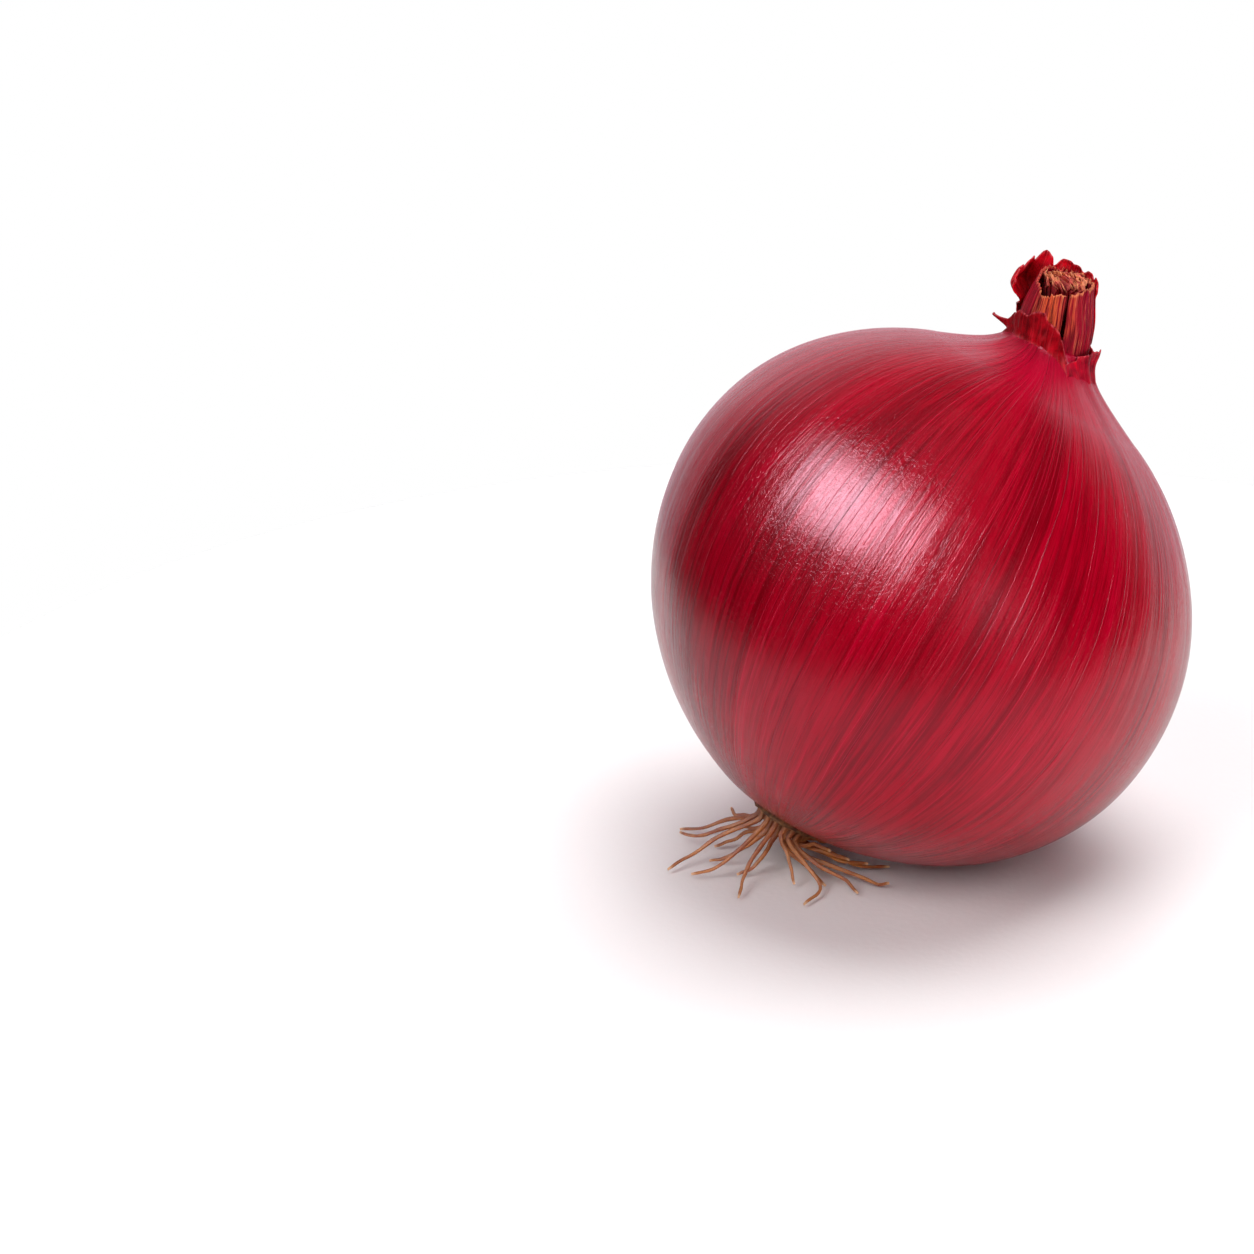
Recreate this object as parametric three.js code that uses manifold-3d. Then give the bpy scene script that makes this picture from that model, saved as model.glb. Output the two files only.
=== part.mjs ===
// Red onion, whole: it lies on a small flat spot, its cut neck up and its roots low on the other side.
// Units are millimetres, +Z is up, and the origin is the centre of the flat rest spot.

import * as THREE from 'three';
import { mergeVertices } from 'three/addons/utils/BufferGeometryUtils.js';
import Module from 'manifold-3d';

const degrees = Math.PI / 180;
const gap = 0.3;

// Driving sizes of the bulb, measured from its middle along its own leaning axis
const equatorRadius = 40;
const neckHalfHeight = 36.6;
const rootHalfHeight = 38.3;
const rootFullness = 2.03;
const sideBulge = 1.1;
const lobeDepth = 0.25;
const pleatDepth = 0.3;
const pleatCount = 12;
const flatDepth = 0.46;

// How the onion lies: its axis tips away from upright, towards the right and a little to the back
const axisTilt = 31.6 * degrees;
const axisHeading = 19.5 * degrees;

// Side of the bulb that swells below its middle, counted round the axis from the side it leans to
const bulgeSide = -27.7 * degrees;

// Neck: the bulb flares into it, and it bends back towards upright
const shoulderRadius = 17.4;
const shoulderHeight = neckHalfHeight * Math.sqrt(1 - (shoulderRadius / equatorRadius) ** 2);
const neckHeight = 40.6;
const neckRadius = 5.9;
const neckBendStart = 33.5;
const neckTurnStart = 37;
const neckTurnEnd = 44.5;
const neckBend = 24.5 * degrees;
const neckBendSide = 205 * degrees;
const neckShift = 1.95;
const neckShiftSide = 170 * degrees;

// Dry leaf bases that stand in the neck, and the thin skins round them
const leafBottom = neckHeight + 2.5 * gap;
const leafTop = 50.2;
const leafBaseRadius = 5.25;
const leafTopRadius = 4.2;
const leafThickness = 0.9;
const leafPleatDepth = 0.12;
const leafPleatCount = 24;
const skinThickness = 0.5;
const collarBottom = 37.5;
const collarLift = gap + 0.1;
const curledRadius = 2;
const curledThickness = 0.6;
const crumpledRadius = 1.25;
const innerTop = leafTop - 0.8;

// Root plate and roots
const recessRadius = 6.2;
const recessDepth = 0.9;
const plateRadius = 5.3;
const plateThickness = 1.7;
const plateTop = -rootHalfHeight + recessDepth - gap - 0.1;
const rootRadius = 0.4;
const rootSides = 6;
const rootSteps = 10;

const finishes = {
  bulb: ['#a3122c', 0.3],
  collar: ['#8c0a1e', 0.45],
  leaf: ['#b5603a', 0.75],
  redLeaf: ['#9a2038', 0.6],
  inner: ['#b07a5c', 0.85],
  plate: ['#8a6038', 0.9],
  root: ['#96551e', 0.8],
};

const wasm = await Module();
wasm.setup();

const onion = new THREE.Group();

function addPiece(name, geometry, finish) {
  const [color, roughness] = finishes[finish];
  const material = new THREE.MeshStandardMaterial({ color, roughness, metalness: 0 });
  const mesh = new THREE.Mesh(geometry, material);
  mesh.name = name;
  onion.add(mesh);
}

function smoothstep(low, high, value) {
  return THREE.MathUtils.smoothstep(value, low, high);
}

// Centreline of the bulb: straight up its axis, then a short bend, then straight up the neck
const neckDirection = new THREE.Vector3(
  Math.sin(neckBend) * Math.cos(neckBendSide),
  Math.sin(neckBend) * Math.sin(neckBendSide),
  Math.cos(neckBend),
);
const neckBase = new THREE.Vector3(
  neckShift * Math.cos(neckShiftSide),
  neckShift * Math.sin(neckShiftSide),
  neckHeight,
);
const bendLength = neckHeight - neckBendStart;
const neckBendCurve = new THREE.CubicBezierCurve3(
  new THREE.Vector3(0, 0, neckBendStart),
  new THREE.Vector3(0, 0, neckBendStart + bendLength * 0.4),
  neckBase.clone().addScaledVector(neckDirection, -bendLength * 0.3),
  neckBase,
);

const neckTurn = new THREE.Quaternion().setFromUnitVectors(new THREE.Vector3(0, 0, 1), neckDirection);

// A point at an angle, a radius and a height, carried along the centreline
function place(angle, radius, height) {
  const centre = new THREE.Vector3(0, 0, height);
  if (height > neckBendStart) {
    neckBendCurve.getPoint(Math.min((height - neckBendStart) / bendLength, 1), centre);
    centre.addScaledVector(neckDirection, Math.max(height - neckHeight, 0));
  }
  const turn = new THREE.Quaternion().slerp(neckTurn, smoothstep(neckTurnStart, neckTurnEnd, height));
  const offset = new THREE.Vector3(radius * Math.cos(angle), radius * Math.sin(angle), 0);
  return offset.applyQuaternion(turn).add(centre);
}

function meshFrom(points, triangles) {
  const geometry = new THREE.BufferGeometry();
  const positions = points.flatMap((point) => [point.x, point.y, point.z]);
  geometry.setAttribute('position', new THREE.Float32BufferAttribute(positions, 3));
  geometry.setIndex(triangles);
  return geometry;
}

// Solid through rings of points, listed from the bottom up, closed with a point at each end
function ringSolid(rings, bottom, top) {
  const count = rings[0].length;
  const points = [...rings.flat(), bottom, top];
  const bottomIndex = points.length - 2;
  const topIndex = points.length - 1;
  const lastRing = (rings.length - 1) * count;
  const triangles = [];
  for (let step = 0; step < count; step += 1) {
    const next = (step + 1) % count;
    for (let ring = 0; ring < rings.length - 1; ring += 1) {
      const low = ring * count;
      const high = low + count;
      triangles.push(low + step, low + next, high + next);
      triangles.push(low + step, high + next, high + step);
    }
    triangles.push(bottomIndex, next, step);
    triangles.push(topIndex, lastRing + step, lastRing + next);
  }
  return meshFrom(points, triangles);
}

// Closed sheet of even thickness, lifted outwards off a surface whose u runs round and v runs up
function sheetSolid(surface, lift, thickness, columns, rows) {
  const inner = [];
  const outer = [];
  const nudge = 0.001;
  for (let row = 0; row <= rows; row += 1) {
    for (let column = 0; column <= columns; column += 1) {
      const u = column / columns;
      const v = row / rows;
      const point = surface(u, v);
      const across = surface(u + nudge, v).sub(surface(u - nudge, v));
      const upward = surface(u, v + nudge).sub(surface(u, v - nudge));
      const normal = across.cross(upward).normalize();
      inner.push(point.addScaledVector(normal, lift));
      outer.push(point.clone().addScaledVector(normal, thickness));
    }
  }
  const width = columns + 1;
  const shift = inner.length;
  const triangles = [];
  const quad = (a, b, c, d) => triangles.push(a, b, c, a, c, d);
  for (let row = 0; row < rows; row += 1) {
    for (let column = 0; column < columns; column += 1) {
      const corner = row * width + column;
      const above = corner + width;
      quad(shift + corner, shift + corner + 1, shift + above + 1, shift + above);
      quad(corner, above, above + 1, corner + 1);
    }
  }
  for (let column = 0; column < columns; column += 1) {
    const high = rows * width + column;
    quad(column, column + 1, shift + column + 1, shift + column);
    quad(high, shift + high, shift + high + 1, high + 1);
  }
  for (let row = 0; row < rows; row += 1) {
    const left = row * width;
    const right = left + columns;
    quad(left, shift + left, shift + left + width, left + width);
    quad(right, right + width, shift + right + width, shift + right);
  }
  return meshFrom([...inner, ...outer], triangles);
}

// Bulb
const flare = new THREE.CubicBezierCurve(
  new THREE.Vector2(shoulderRadius, shoulderHeight),
  new THREE.Vector2(shoulderRadius - 6, shoulderHeight + 2.2),
  new THREE.Vector2(neckRadius + 0.5, neckHeight - 3.5),
  new THREE.Vector2(neckRadius, neckHeight),
);

function bulbProfile() {
  const profile = [];
  const rootRings = 15;
  for (let ring = 1; ring <= rootRings; ring += 1) {
    const angle = (ring / rootRings) * 90 * degrees;
    const radius = equatorRadius * Math.sin(angle) ** (2 / rootFullness);
    const height = -rootHalfHeight * Math.cos(angle) ** (2 / rootFullness);
    const recess = recessDepth * (1 - smoothstep(recessRadius - 1.5, recessRadius + 0.8, radius));
    profile.push([radius, height + recess]);
  }
  const shoulderAngle = Math.asin(shoulderHeight / neckHalfHeight);
  const upperRings = 11;
  for (let ring = 1; ring < upperRings; ring += 1) {
    const angle = (ring / upperRings) * shoulderAngle;
    profile.push([equatorRadius * Math.cos(angle), neckHalfHeight * Math.sin(angle)]);
  }
  const flareRings = 9;
  for (let ring = 0; ring <= flareRings; ring += 1) {
    const point = flare.getPoint(ring / flareRings);
    profile.push([point.x, point.y]);
  }
  return profile;
}

// How far the skin stands out from the round profile at one place
function skinRelief(angle, radius, height) {
  const slope = Math.atan2(radius, height);
  const bulge = -sideBulge * Math.sin(2 * slope) * Math.cos(angle - bulgeSide);
  const wideLobes = Math.cos(3 * angle + 0.6);
  const lobes = wideLobes + 0.6 * Math.cos(5 * angle + 2.1) + 0.4 * Math.cos(8 * angle + 4);
  const pleats = Math.cos(pleatCount * angle) * smoothstep(30, 39, height);
  const lean = smoothstep(2, shoulderRadius, radius);
  return lean * (bulge + lobeDepth * lobes) + pleatDepth * pleats;
}

function bulbSurface(angle, radius, height) {
  const outward = radius + skinRelief(angle, radius, height);
  return place(angle, outward, height);
}

const bulbSides = 48;
const bulbRings = bulbProfile().map(([radius, height]) => Array.from(
  { length: bulbSides },
  (_, step) => bulbSurface((step / bulbSides) * 2 * Math.PI, radius, height),
));
const rootPole = new THREE.Vector3(0, 0, -rootHalfHeight + recessDepth);
const bulbWhole = ringSolid(bulbRings, rootPole, neckBase);

// The leaning frame of the bulb, set so that the flat spot is cut at height 0
const lean = new THREE.Matrix4().makeRotationZ(axisHeading);
lean.multiply(new THREE.Matrix4().makeRotationY(axisTilt));
bulbWhole.applyMatrix4(lean);
bulbWhole.computeBoundingBox();
const middleHeight = -bulbWhole.boundingBox.min.z - flatDepth;
bulbWhole.translate(0, 0, middleHeight);

function toManifold(geometry) {
  const bare = geometry.index ? geometry.clone() : mergeVertices(geometry);
  return new wasm.Manifold(new wasm.Mesh({
    numProp: 3,
    vertProperties: new Float32Array(bare.attributes.position.array),
    triVerts: new Uint32Array(bare.index.array),
  }));
}

function fromManifold(solid) {
  const { vertProperties, triVerts } = solid.getMesh();
  const geometry = new THREE.BufferGeometry();
  geometry.setAttribute('position', new THREE.Float32BufferAttribute(vertProperties, 3));
  geometry.setIndex(Array.from(triVerts));
  return geometry;
}

function blockBelowFloor() {
  const size = 3 * equatorRadius;
  const block = new THREE.BoxGeometry(size, size, size);
  block.deleteAttribute('normal');
  block.deleteAttribute('uv');
  block.translate(0, 0, -size / 2);
  return mergeVertices(block);
}

const bulb = fromManifold(toManifold(bulbWhole).subtract(toManifold(blockBelowFloor())));

// The flat spot's own middle becomes the origin
const flatBox = new THREE.Box3();
const corner = new THREE.Vector3();
for (let index = 0; index < bulb.attributes.position.count; index += 1) {
  corner.fromBufferAttribute(bulb.attributes.position, index);
  if (Math.abs(corner.z) < 1e-4) {
    flatBox.expandByPoint(corner);
  }
}
const flatMiddle = flatBox.getCenter(new THREE.Vector3());
bulb.translate(-flatMiddle.x, -flatMiddle.y, 0);
addPiece('bulb', bulb, 'bulb');

const toPart = new THREE.Matrix4().makeTranslation(-flatMiddle.x, -flatMiddle.y, middleHeight);
toPart.multiply(lean);

function addLeaning(name, geometry, finish) {
  geometry.applyMatrix4(toPart);
  addPiece(name, geometry, finish);
}

// Torn collar: what is left of the outermost skin, still standing round the neck
function flareRadius(height) {
  let low = 0;
  let high = 1;
  for (let halving = 0; halving < 20; halving += 1) {
    const middle = (low + high) / 2;
    if (flare.getPoint(middle).y < height) {
      low = middle;
    } else {
      high = middle;
    }
  }
  return flare.getPoint(low).x;
}

// A smooth value between [angle, value] pairs, with the angles in degrees and rising
function between(pairs, angle) {
  const turn = angle / degrees;
  let index = 0;
  while (index < pairs.length - 2 && turn > pairs[index + 1][0]) {
    index += 1;
  }
  const [lowAngle, lowValue] = pairs[index];
  const [highAngle, highValue] = pairs[index + 1];
  return THREE.MathUtils.lerp(lowValue, highValue, smoothstep(lowAngle, highAngle, turn));
}

// Each collar piece has the height of its torn edge and how far that edge stands off the neck
const collars = {
  collar_left: {
    from: 119,
    to: 259.5,
    edge: [
      [119, 42.2], [138, 42.6], [152, 43], [166, 45],
      [182, 46.4], [225, 47.6], [246, 45.2], [259.5, 41],
    ],
    standOff: [[119, 0.9], [140, 2.6], [154, 2], [182, 0.5], [259.5, 0.2]],
    columns: 26,
  },
  collar_right: {
    from: 267,
    to: 465,
    edge: [
      [267, 40.4], [296, 41.8], [326, 41.6], [333, 43],
      [345, 40.8], [400, 42.4], [440, 41], [465, 42],
    ],
    standOff: [[267, 0.2], [318, 0.3], [331, 1], [345, 0.4], [465, 0.5]],
    columns: 34,
  },
};

const collarRows = 5;

for (const [name, collar] of Object.entries(collars)) {
  const surface = (u, v) => {
    const angle = THREE.MathUtils.lerp(collar.from, collar.to, u) * degrees;
    const edge = between(collar.edge, angle);
    const height = THREE.MathUtils.lerp(collarBottom, edge, v);
    const radius = flareRadius(Math.min(height, neckHeight));
    const pleatFade = 1 - smoothstep(neckHeight, neckHeight + 1.4, height);
    const relief = skinRelief(angle, radius, Math.min(height, neckHeight)) * pleatFade;
    const standOff = between(collar.standOff, angle) * smoothstep(neckHeight - 2, edge, height);
    return place(angle, radius + relief + standOff, height);
  };
  const skin = sheetSolid(surface, collarLift, skinThickness, collar.columns, collarRows);
  addLeaning(name, skin, 'collar');
}

// Dry leaf bases: a ring of pleated strips with one open split at the front
function leafRadius(height) {
  return THREE.MathUtils.mapLinear(height, leafBottom, leafTop, leafBaseRadius, leafTopRadius);
}

const leafRows = 4;
const leafSpans = {
  neck_leaf_left: { from: 76, to: 189, finish: 'redLeaf', columns: 18 },
  neck_leaf_front: { from: 195, to: 246.5, finish: 'leaf', columns: 12 },
  neck_leaf_right: { from: 255, to: 426, finish: 'leaf', columns: 32 },
};

for (const [name, span] of Object.entries(leafSpans)) {
  const surface = (u, v) => {
    const angle = THREE.MathUtils.lerp(span.from, span.to, u) * degrees;
    const tornTop = leafTop + 0.3 * Math.sin(5 * angle) + 0.2 * Math.sin(11 * angle + 1);
    const height = THREE.MathUtils.lerp(leafBottom, tornTop, v);
    const pleat = leafPleatDepth * Math.cos(leafPleatCount * angle);
    return place(angle, leafRadius(height) - leafThickness + pleat, height);
  };
  addLeaning(name, sheetSolid(surface, 0, leafThickness, span.columns, leafRows), span.finish);
}

// Shrivelled inner leaves: one curled sheet with a crumpled rod inside it
const curledSpan = {
  from: -20,
  to: 235,
  ripple: 0.2,
  ripples: 6,
  ragged: 0.3,
  raggedWaves: 4,
  columns: 24,
  rows: 3,
};

function curledLeaf(u, v) {
  const angle = THREE.MathUtils.lerp(curledSpan.from, curledSpan.to, u) * degrees;
  const radius = curledRadius + curledSpan.ripple * Math.sin(curledSpan.ripples * angle);
  const top = innerTop + curledSpan.ragged * Math.sin(curledSpan.raggedWaves * angle);
  return place(angle, radius, THREE.MathUtils.lerp(leafBottom, top, v));
}

const curledSheet = sheetSolid(curledLeaf, 0, curledThickness, curledSpan.columns, curledSpan.rows);
addLeaning('inner_leaf_curled', curledSheet, 'inner');

// The rod's three soft ridges wind round it as it rises, and its top is rounded off
const rod = {
  sides: 18,
  ridges: 3,
  ridgeShare: 0.2,
  rise: 3,
  edgeDrop: 0.5,
  crownDrop: 0.1,
  crownSize: 0.6,
};

function crumpledRing(height, size) {
  return Array.from({ length: rod.sides }, (_, step) => {
    const angle = (step / rod.sides) * 2 * Math.PI;
    const swell = rod.ridgeShare * Math.sin(rod.ridges * angle + height);
    return place(angle, size * crumpledRadius * (1 + swell), height);
  });
}

const crumpledHeights = [leafBottom, leafBottom + rod.rise, leafBottom + 2 * rod.rise];
crumpledHeights.push(innerTop - rod.edgeDrop);
const crumpledRings = crumpledHeights.map((height) => crumpledRing(height, 1));
crumpledRings.push(crumpledRing(innerTop - rod.crownDrop, rod.crownSize));
const crumpled = ringSolid(crumpledRings, place(0, 0, leafBottom), place(0, 0, innerTop));
addLeaning('inner_leaf_crumpled', crumpled, 'inner');

// Two scraps of red skin behind the neck: a low crumpled one, and a tall one that curls away
const lowScrap = {
  from: -14,
  to: 92,
  footRise: 1.4,
  topRise: 0.5,
  hump: 0.5,
  humps: 7,
  standOff: 0.45,
  columns: 18,
  rows: 4,
};

function lowScrapSurface(u, v) {
  const angle = THREE.MathUtils.lerp(lowScrap.from, lowScrap.to, u) * degrees;
  const top = leafTop + lowScrap.topRise + lowScrap.hump * Math.sin(lowScrap.humps * angle);
  const height = THREE.MathUtils.lerp(leafBottom + lowScrap.footRise, top, v);
  return place(angle, leafRadius(height) + lowScrap.standOff, height);
}

const lowSheet = sheetSolid(lowScrapSurface, 0, skinThickness, lowScrap.columns, lowScrap.rows);
addLeaning('skin_scrap_low', lowSheet, 'collar');

const tallScrap = {
  from: 98,
  to: 152,
  top: [[98, 51.6], [105, 52.4], [120, 51], [130, 50.6], [142, 49.4], [152, 47.5]],
  bottom: 43.5,
  foot: 5.7,
  belly: 2,
  curl: 150,
  columns: 14,
  rows: 8,
};

function tallScrapSurface(u, v) {
  const angle = THREE.MathUtils.lerp(tallScrap.from, tallScrap.to, u) * degrees;
  const height = THREE.MathUtils.lerp(tallScrap.bottom, between(tallScrap.top, angle), v);
  const radius = tallScrap.foot + tallScrap.belly * Math.sin(v * tallScrap.curl * degrees);
  return place(angle, radius, height);
}

const tallSheet = sheetSolid(tallScrapSurface, 0, skinThickness, tallScrap.columns, tallScrap.rows);
addLeaning('skin_scrap_tall', tallSheet, 'collar');

// Root plate: the corky disc that the leaves and roots grow from
function plateFace(radius) {
  return plateTop - plateThickness * (1 - 0.55 * (radius / plateRadius) ** 2);
}

function rootPlate() {
  const outline = [];
  const faceSteps = 5;
  for (let step = 0; step <= faceSteps; step += 1) {
    const radius = (step / faceSteps) * plateRadius;
    outline.push(new THREE.Vector2(radius, plateFace(radius)));
  }
  outline.push(new THREE.Vector2(plateRadius - 0.5, plateTop));
  outline.push(new THREE.Vector2(0, plateTop));
  const disc = new THREE.LatheGeometry(outline, 24);
  disc.rotateX(90 * degrees);
  return disc;
}

addLeaning('root_plate', rootPlate(), 'plate');

// Roots: each starts on the plate, at a turn round it and a distance from its middle
const outerRow = 4;
const innerRow = 2.1;
const outerLeaving = 0.9;
const innerLeaving = 1.7;

// Roots that show, each with the points that it passes, ending at its tip
const frontRoots = [
  { turn: 300, row: outerRow, points: [[-18.2, -12.2, 4.7], [-16.2, -14.2, 4.5]] },
  { turn: 317, row: outerRow, points: [[-17.2, -12.4, 3.7], [-13.4, -14.2, 3.2]] },
  { turn: 335, row: outerRow, points: [[-16.4, -11.4, 2.7], [-13.6, -13, 2.2], [-10.6, -13.3, 2.2]] },
  { turn: 354, row: outerRow, points: [[-16.2, -8.8, 2], [-12.5, -11.8, 1.3], [-7.4, -11.6, 0.75]] },
  {
    turn: 318,
    row: innerRow,
    points: [[-16.4, -13.4, 1.9], [-13.2, -15.3, 1.7], [-9.8, -17.1, 0.75], [-7.8, -17.2, 0.95]],
  },
  { turn: 282, row: outerRow, points: [[-18.4, -15, 3.2], [-14.3, -17.3, 1.5], [-12.5, -20, 0.7]] },
  { turn: 265, row: outerRow, points: [[-20, -15.4, 3.4], [-17.8, -19.1, 1.2], [-20.3, -23.5, 0.7]] },
  { turn: 248, row: outerRow, points: [[-22.2, -14.6, 3.6], [-21.4, -17.3, 0.8]] },
  { turn: 280, row: innerRow, points: [[-19.6, -13.2, 1.9], [-17, -17.6, 0.7]] },
];

// Roots on the far sides of the plate, by the heading, reach, tip height and sideways curl of each
const sideRoots = [
  { turn: 15, row: outerRow, heading: 15, reach: 5, tip: 0.7, curl: 1 },
  { turn: 42, row: outerRow, heading: 36, reach: 9, tip: 0.9, curl: 1.5 },
  { turn: 75, row: outerRow, heading: 92, reach: 11, tip: 0.8, curl: 1.6 },
  { turn: 102, row: outerRow, heading: 122, reach: 12, tip: 1.2, curl: -1.5 },
  { turn: 128, row: outerRow, heading: 146, reach: 13, tip: 0.7, curl: 1.8 },
  { turn: 154, row: outerRow, heading: 168, reach: 12, tip: 1.5, curl: -2.2 },
  { turn: 180, row: outerRow, heading: 188, reach: 14, tip: 0.8, curl: 2.4 },
  { turn: 204, row: outerRow, heading: 212, reach: 12, tip: 1, curl: -1.6 },
  { turn: 226, row: outerRow, heading: 236, reach: 12, tip: 0.7, curl: 1.4 },
  { turn: 55, row: innerRow, heading: 88, reach: 7, tip: 0.8, curl: 1 },
  { turn: 90, row: innerRow, heading: 118, reach: 8, tip: 0.8, curl: 1.2 },
  { turn: 140, row: innerRow, heading: 160, reach: 8, tip: 0.7, curl: 1.2 },
  { turn: 190, row: innerRow, heading: 198, reach: 9, tip: 0.7, curl: -1.2 },
  { turn: 235, row: innerRow, heading: 228, reach: 8, tip: 0.8, curl: -1.2 },
];

const outwards = new THREE.Vector3(0, 0, -1).transformDirection(toPart);

function rootStart(root) {
  const height = plateFace(root.row) - gap - 0.15;
  return place(root.turn * degrees, root.row, height).applyMatrix4(toPart);
}

function sideRootPoints(root) {
  const start = rootStart(root);
  const heading = root.heading * degrees;
  const forward = new THREE.Vector3(Math.cos(heading), Math.sin(heading), 0);
  const sideways = new THREE.Vector3(-Math.sin(heading), Math.cos(heading), 0);
  const point = (reach, curl, height) => {
    const spot = start.clone().addScaledVector(forward, reach * root.reach);
    spot.addScaledVector(sideways, curl * root.curl);
    spot.z = height;
    return spot;
  };
  const drop = start.z - root.tip;
  return [
    point(0.45, -0.3, root.tip + drop * 0.45),
    point(0.75, 0.1, root.tip + drop * 0.12),
    point(1, 1, root.tip),
  ];
}

const rootSection = new THREE.Shape();
for (let side = 0; side < rootSides; side += 1) {
  const angle = (side / rootSides) * 2 * Math.PI;
  const move = side === 0 ? 'moveTo' : 'lineTo';
  rootSection[move](rootRadius * Math.cos(angle), rootRadius * Math.sin(angle));
}
rootSection.closePath();

const rootRoutes = [
  ...frontRoots.map((root) => [root, root.points.map((point) => new THREE.Vector3(...point))]),
  ...sideRoots.map((root) => [root, sideRootPoints(root)]),
];

rootRoutes.forEach(([root, points], index) => {
  const start = rootStart(root);
  const stub = root.row === innerRow ? innerLeaving : outerLeaving;
  const leaving = start.clone().addScaledVector(outwards, stub);
  const path = new THREE.CatmullRomCurve3([start, leaving, ...points]);
  const geometry = new THREE.ExtrudeGeometry(rootSection, {
    steps: rootSteps,
    bevelEnabled: false,
    extrudePath: path,
  });
  addPiece(`root_${String(index + 1).padStart(2, '0')}`, geometry, 'root');
});

export default onion;
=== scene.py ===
import math
import random

import bpy
from bpy.props import FloatProperty, FloatVectorProperty, IntProperty, PointerProperty
from mathutils import Matrix, Quaternion, Vector, noise


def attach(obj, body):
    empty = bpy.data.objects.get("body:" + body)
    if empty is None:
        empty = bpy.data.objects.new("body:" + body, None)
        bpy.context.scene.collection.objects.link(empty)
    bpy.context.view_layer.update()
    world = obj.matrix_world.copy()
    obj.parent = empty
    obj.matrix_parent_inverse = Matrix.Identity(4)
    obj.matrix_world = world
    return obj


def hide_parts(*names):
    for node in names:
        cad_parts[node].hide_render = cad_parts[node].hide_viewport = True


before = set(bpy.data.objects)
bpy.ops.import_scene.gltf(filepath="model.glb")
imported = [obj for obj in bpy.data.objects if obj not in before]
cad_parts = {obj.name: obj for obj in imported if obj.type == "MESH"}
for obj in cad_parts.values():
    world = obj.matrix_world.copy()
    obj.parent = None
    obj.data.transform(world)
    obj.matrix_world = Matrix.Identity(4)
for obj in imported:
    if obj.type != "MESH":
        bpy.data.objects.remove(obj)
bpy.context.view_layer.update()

bl_info = {
    "name": "Red onion",
    "version": (1, 0, 0),
    "blender": (4, 5, 0),
    "location": "View3D > Sidebar > Onion",
    "description": "Models a whole red onion with its torn neck, dry skins and roots",
    "category": "Add Mesh",
}

# Sizes are in metres and angles in radians, unless a name or a comment says otherwise
MM = 0.001
DEGREE = math.pi / 180
FULL_TURN = 2 * math.pi

# The bulb's own frame: its middle, and how its axis leans away from upright
BULB_MIDDLE = Vector((-0.003258, 0.000038, 0.038957))
AXIS_TILT = 31.6 * DEGREE
AXIS_HEADING = 19.5 * DEGREE
TO_PART = (
    Matrix.Translation(BULB_MIDDLE)
    @ Matrix.Rotation(AXIS_HEADING, 4, "Z")
    @ Matrix.Rotation(AXIS_TILT, 4, "Y")
)

# Bulb, measured from its middle along its own axis
ROOT_FULLNESS = 2.03
BULGE_SIDE = -27.7 * DEGREE
SHOULDER_RADIUS = 0.0174
RECESS_RADIUS = 0.0062
RECESS_DEPTH = 0.0009
LOBE_HEIGHT = 0.00025
DENT_HEIGHT = 0.00012
LEAST_GIRTH = 0.12

# Neck, where the centreline bends back towards upright
NECK_HEIGHT = 0.0406
NECK_RADIUS = 0.0059
NECK_BEND_START = 0.0335
NECK_TURN_START = 0.037
NECK_TURN_END = 0.0445
NECK_BEND = 24.5 * DEGREE
NECK_BEND_SIDE = 205 * DEGREE
NECK_SHIFT = 0.00195
NECK_SHIFT_SIDE = 170 * DEGREE
NECK_PLEAT_HEIGHT = 0.0002

# The cut stub of the neck, which moves over near its top and swells at the middle of one side
STUB_SHIFT = 0.00062
STUB_SHIFT_HEIGHTS = (0.0435, 0.0495)
STUB_SWELL = 0.0009
STUB_SWELL_SIDE = 157 * DEGREE
STUB_SWELL_RISE = (0.0402, 0.0435)
STUB_SWELL_FALL = (0.0445, 0.0505)

# Dry leaf bases and skins in and round the neck
LEAF_FOOT = 0.0404
LEAF_TOP = 0.0502
LEAF_BASE_RADIUS = 0.0053
LEAF_TOP_RADIUS = 0.00405
COLLAR_FOOT = 0.0363
# The side of the neck that the key light falls on: the leaf bases are painted lighter and browner towards it,
# partly their own colour and partly painted light
LEAF_LIT_BROWN_SIDE = (math.cos(232 * DEGREE), math.sin(232 * DEGREE), 0)

# Root plate and the two rows of roots on it
ROOT_HALF_HEIGHT = 0.0383
PLATE_TOP = -0.0378
PLATE_RADIUS = 0.0053
PLATE_THICKNESS = 0.0017
OUTER_ROW = 0.004
INNER_ROW = 0.0021
OUTER_LEAVING = 0.0009
INNER_LEAVING = 0.0017
ROOT_SINK = 0.00045
ROOT_BURIED = 0.0009
ROOT_CLEARANCE = 0.00012

# Camera, set to see the onion as in the photograph
CAMERA_PLACE = (-0.0454, -0.46636, 0.22197)
CAMERA_TILT = 68 * DEGREE
SENSOR_WIDTH_MM = 36


def linear(red, green, blue):
    """A colour as it looks on a screen, 0 to 255 each, as the linear colour that shaders use."""
    shares = [value / 255 for value in (red, green, blue)]
    return tuple(s / 12.92 if s <= 0.04045 else ((s + 0.055) / 1.055) ** 2.4 for s in shares)


def darker(colour, share):
    return [value * share for value in colour]


def size_setting(name, description, default, precision=4):
    return FloatProperty(
        name=name, description=description, default=default, unit="LENGTH", precision=precision)


def colour_setting(name, description, default):
    return FloatVectorProperty(name=name, description=description, default=default, subtype="COLOR")


def light_setting(name, description, default):
    return FloatProperty(name=name, description=description, default=default, min=0)


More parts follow.
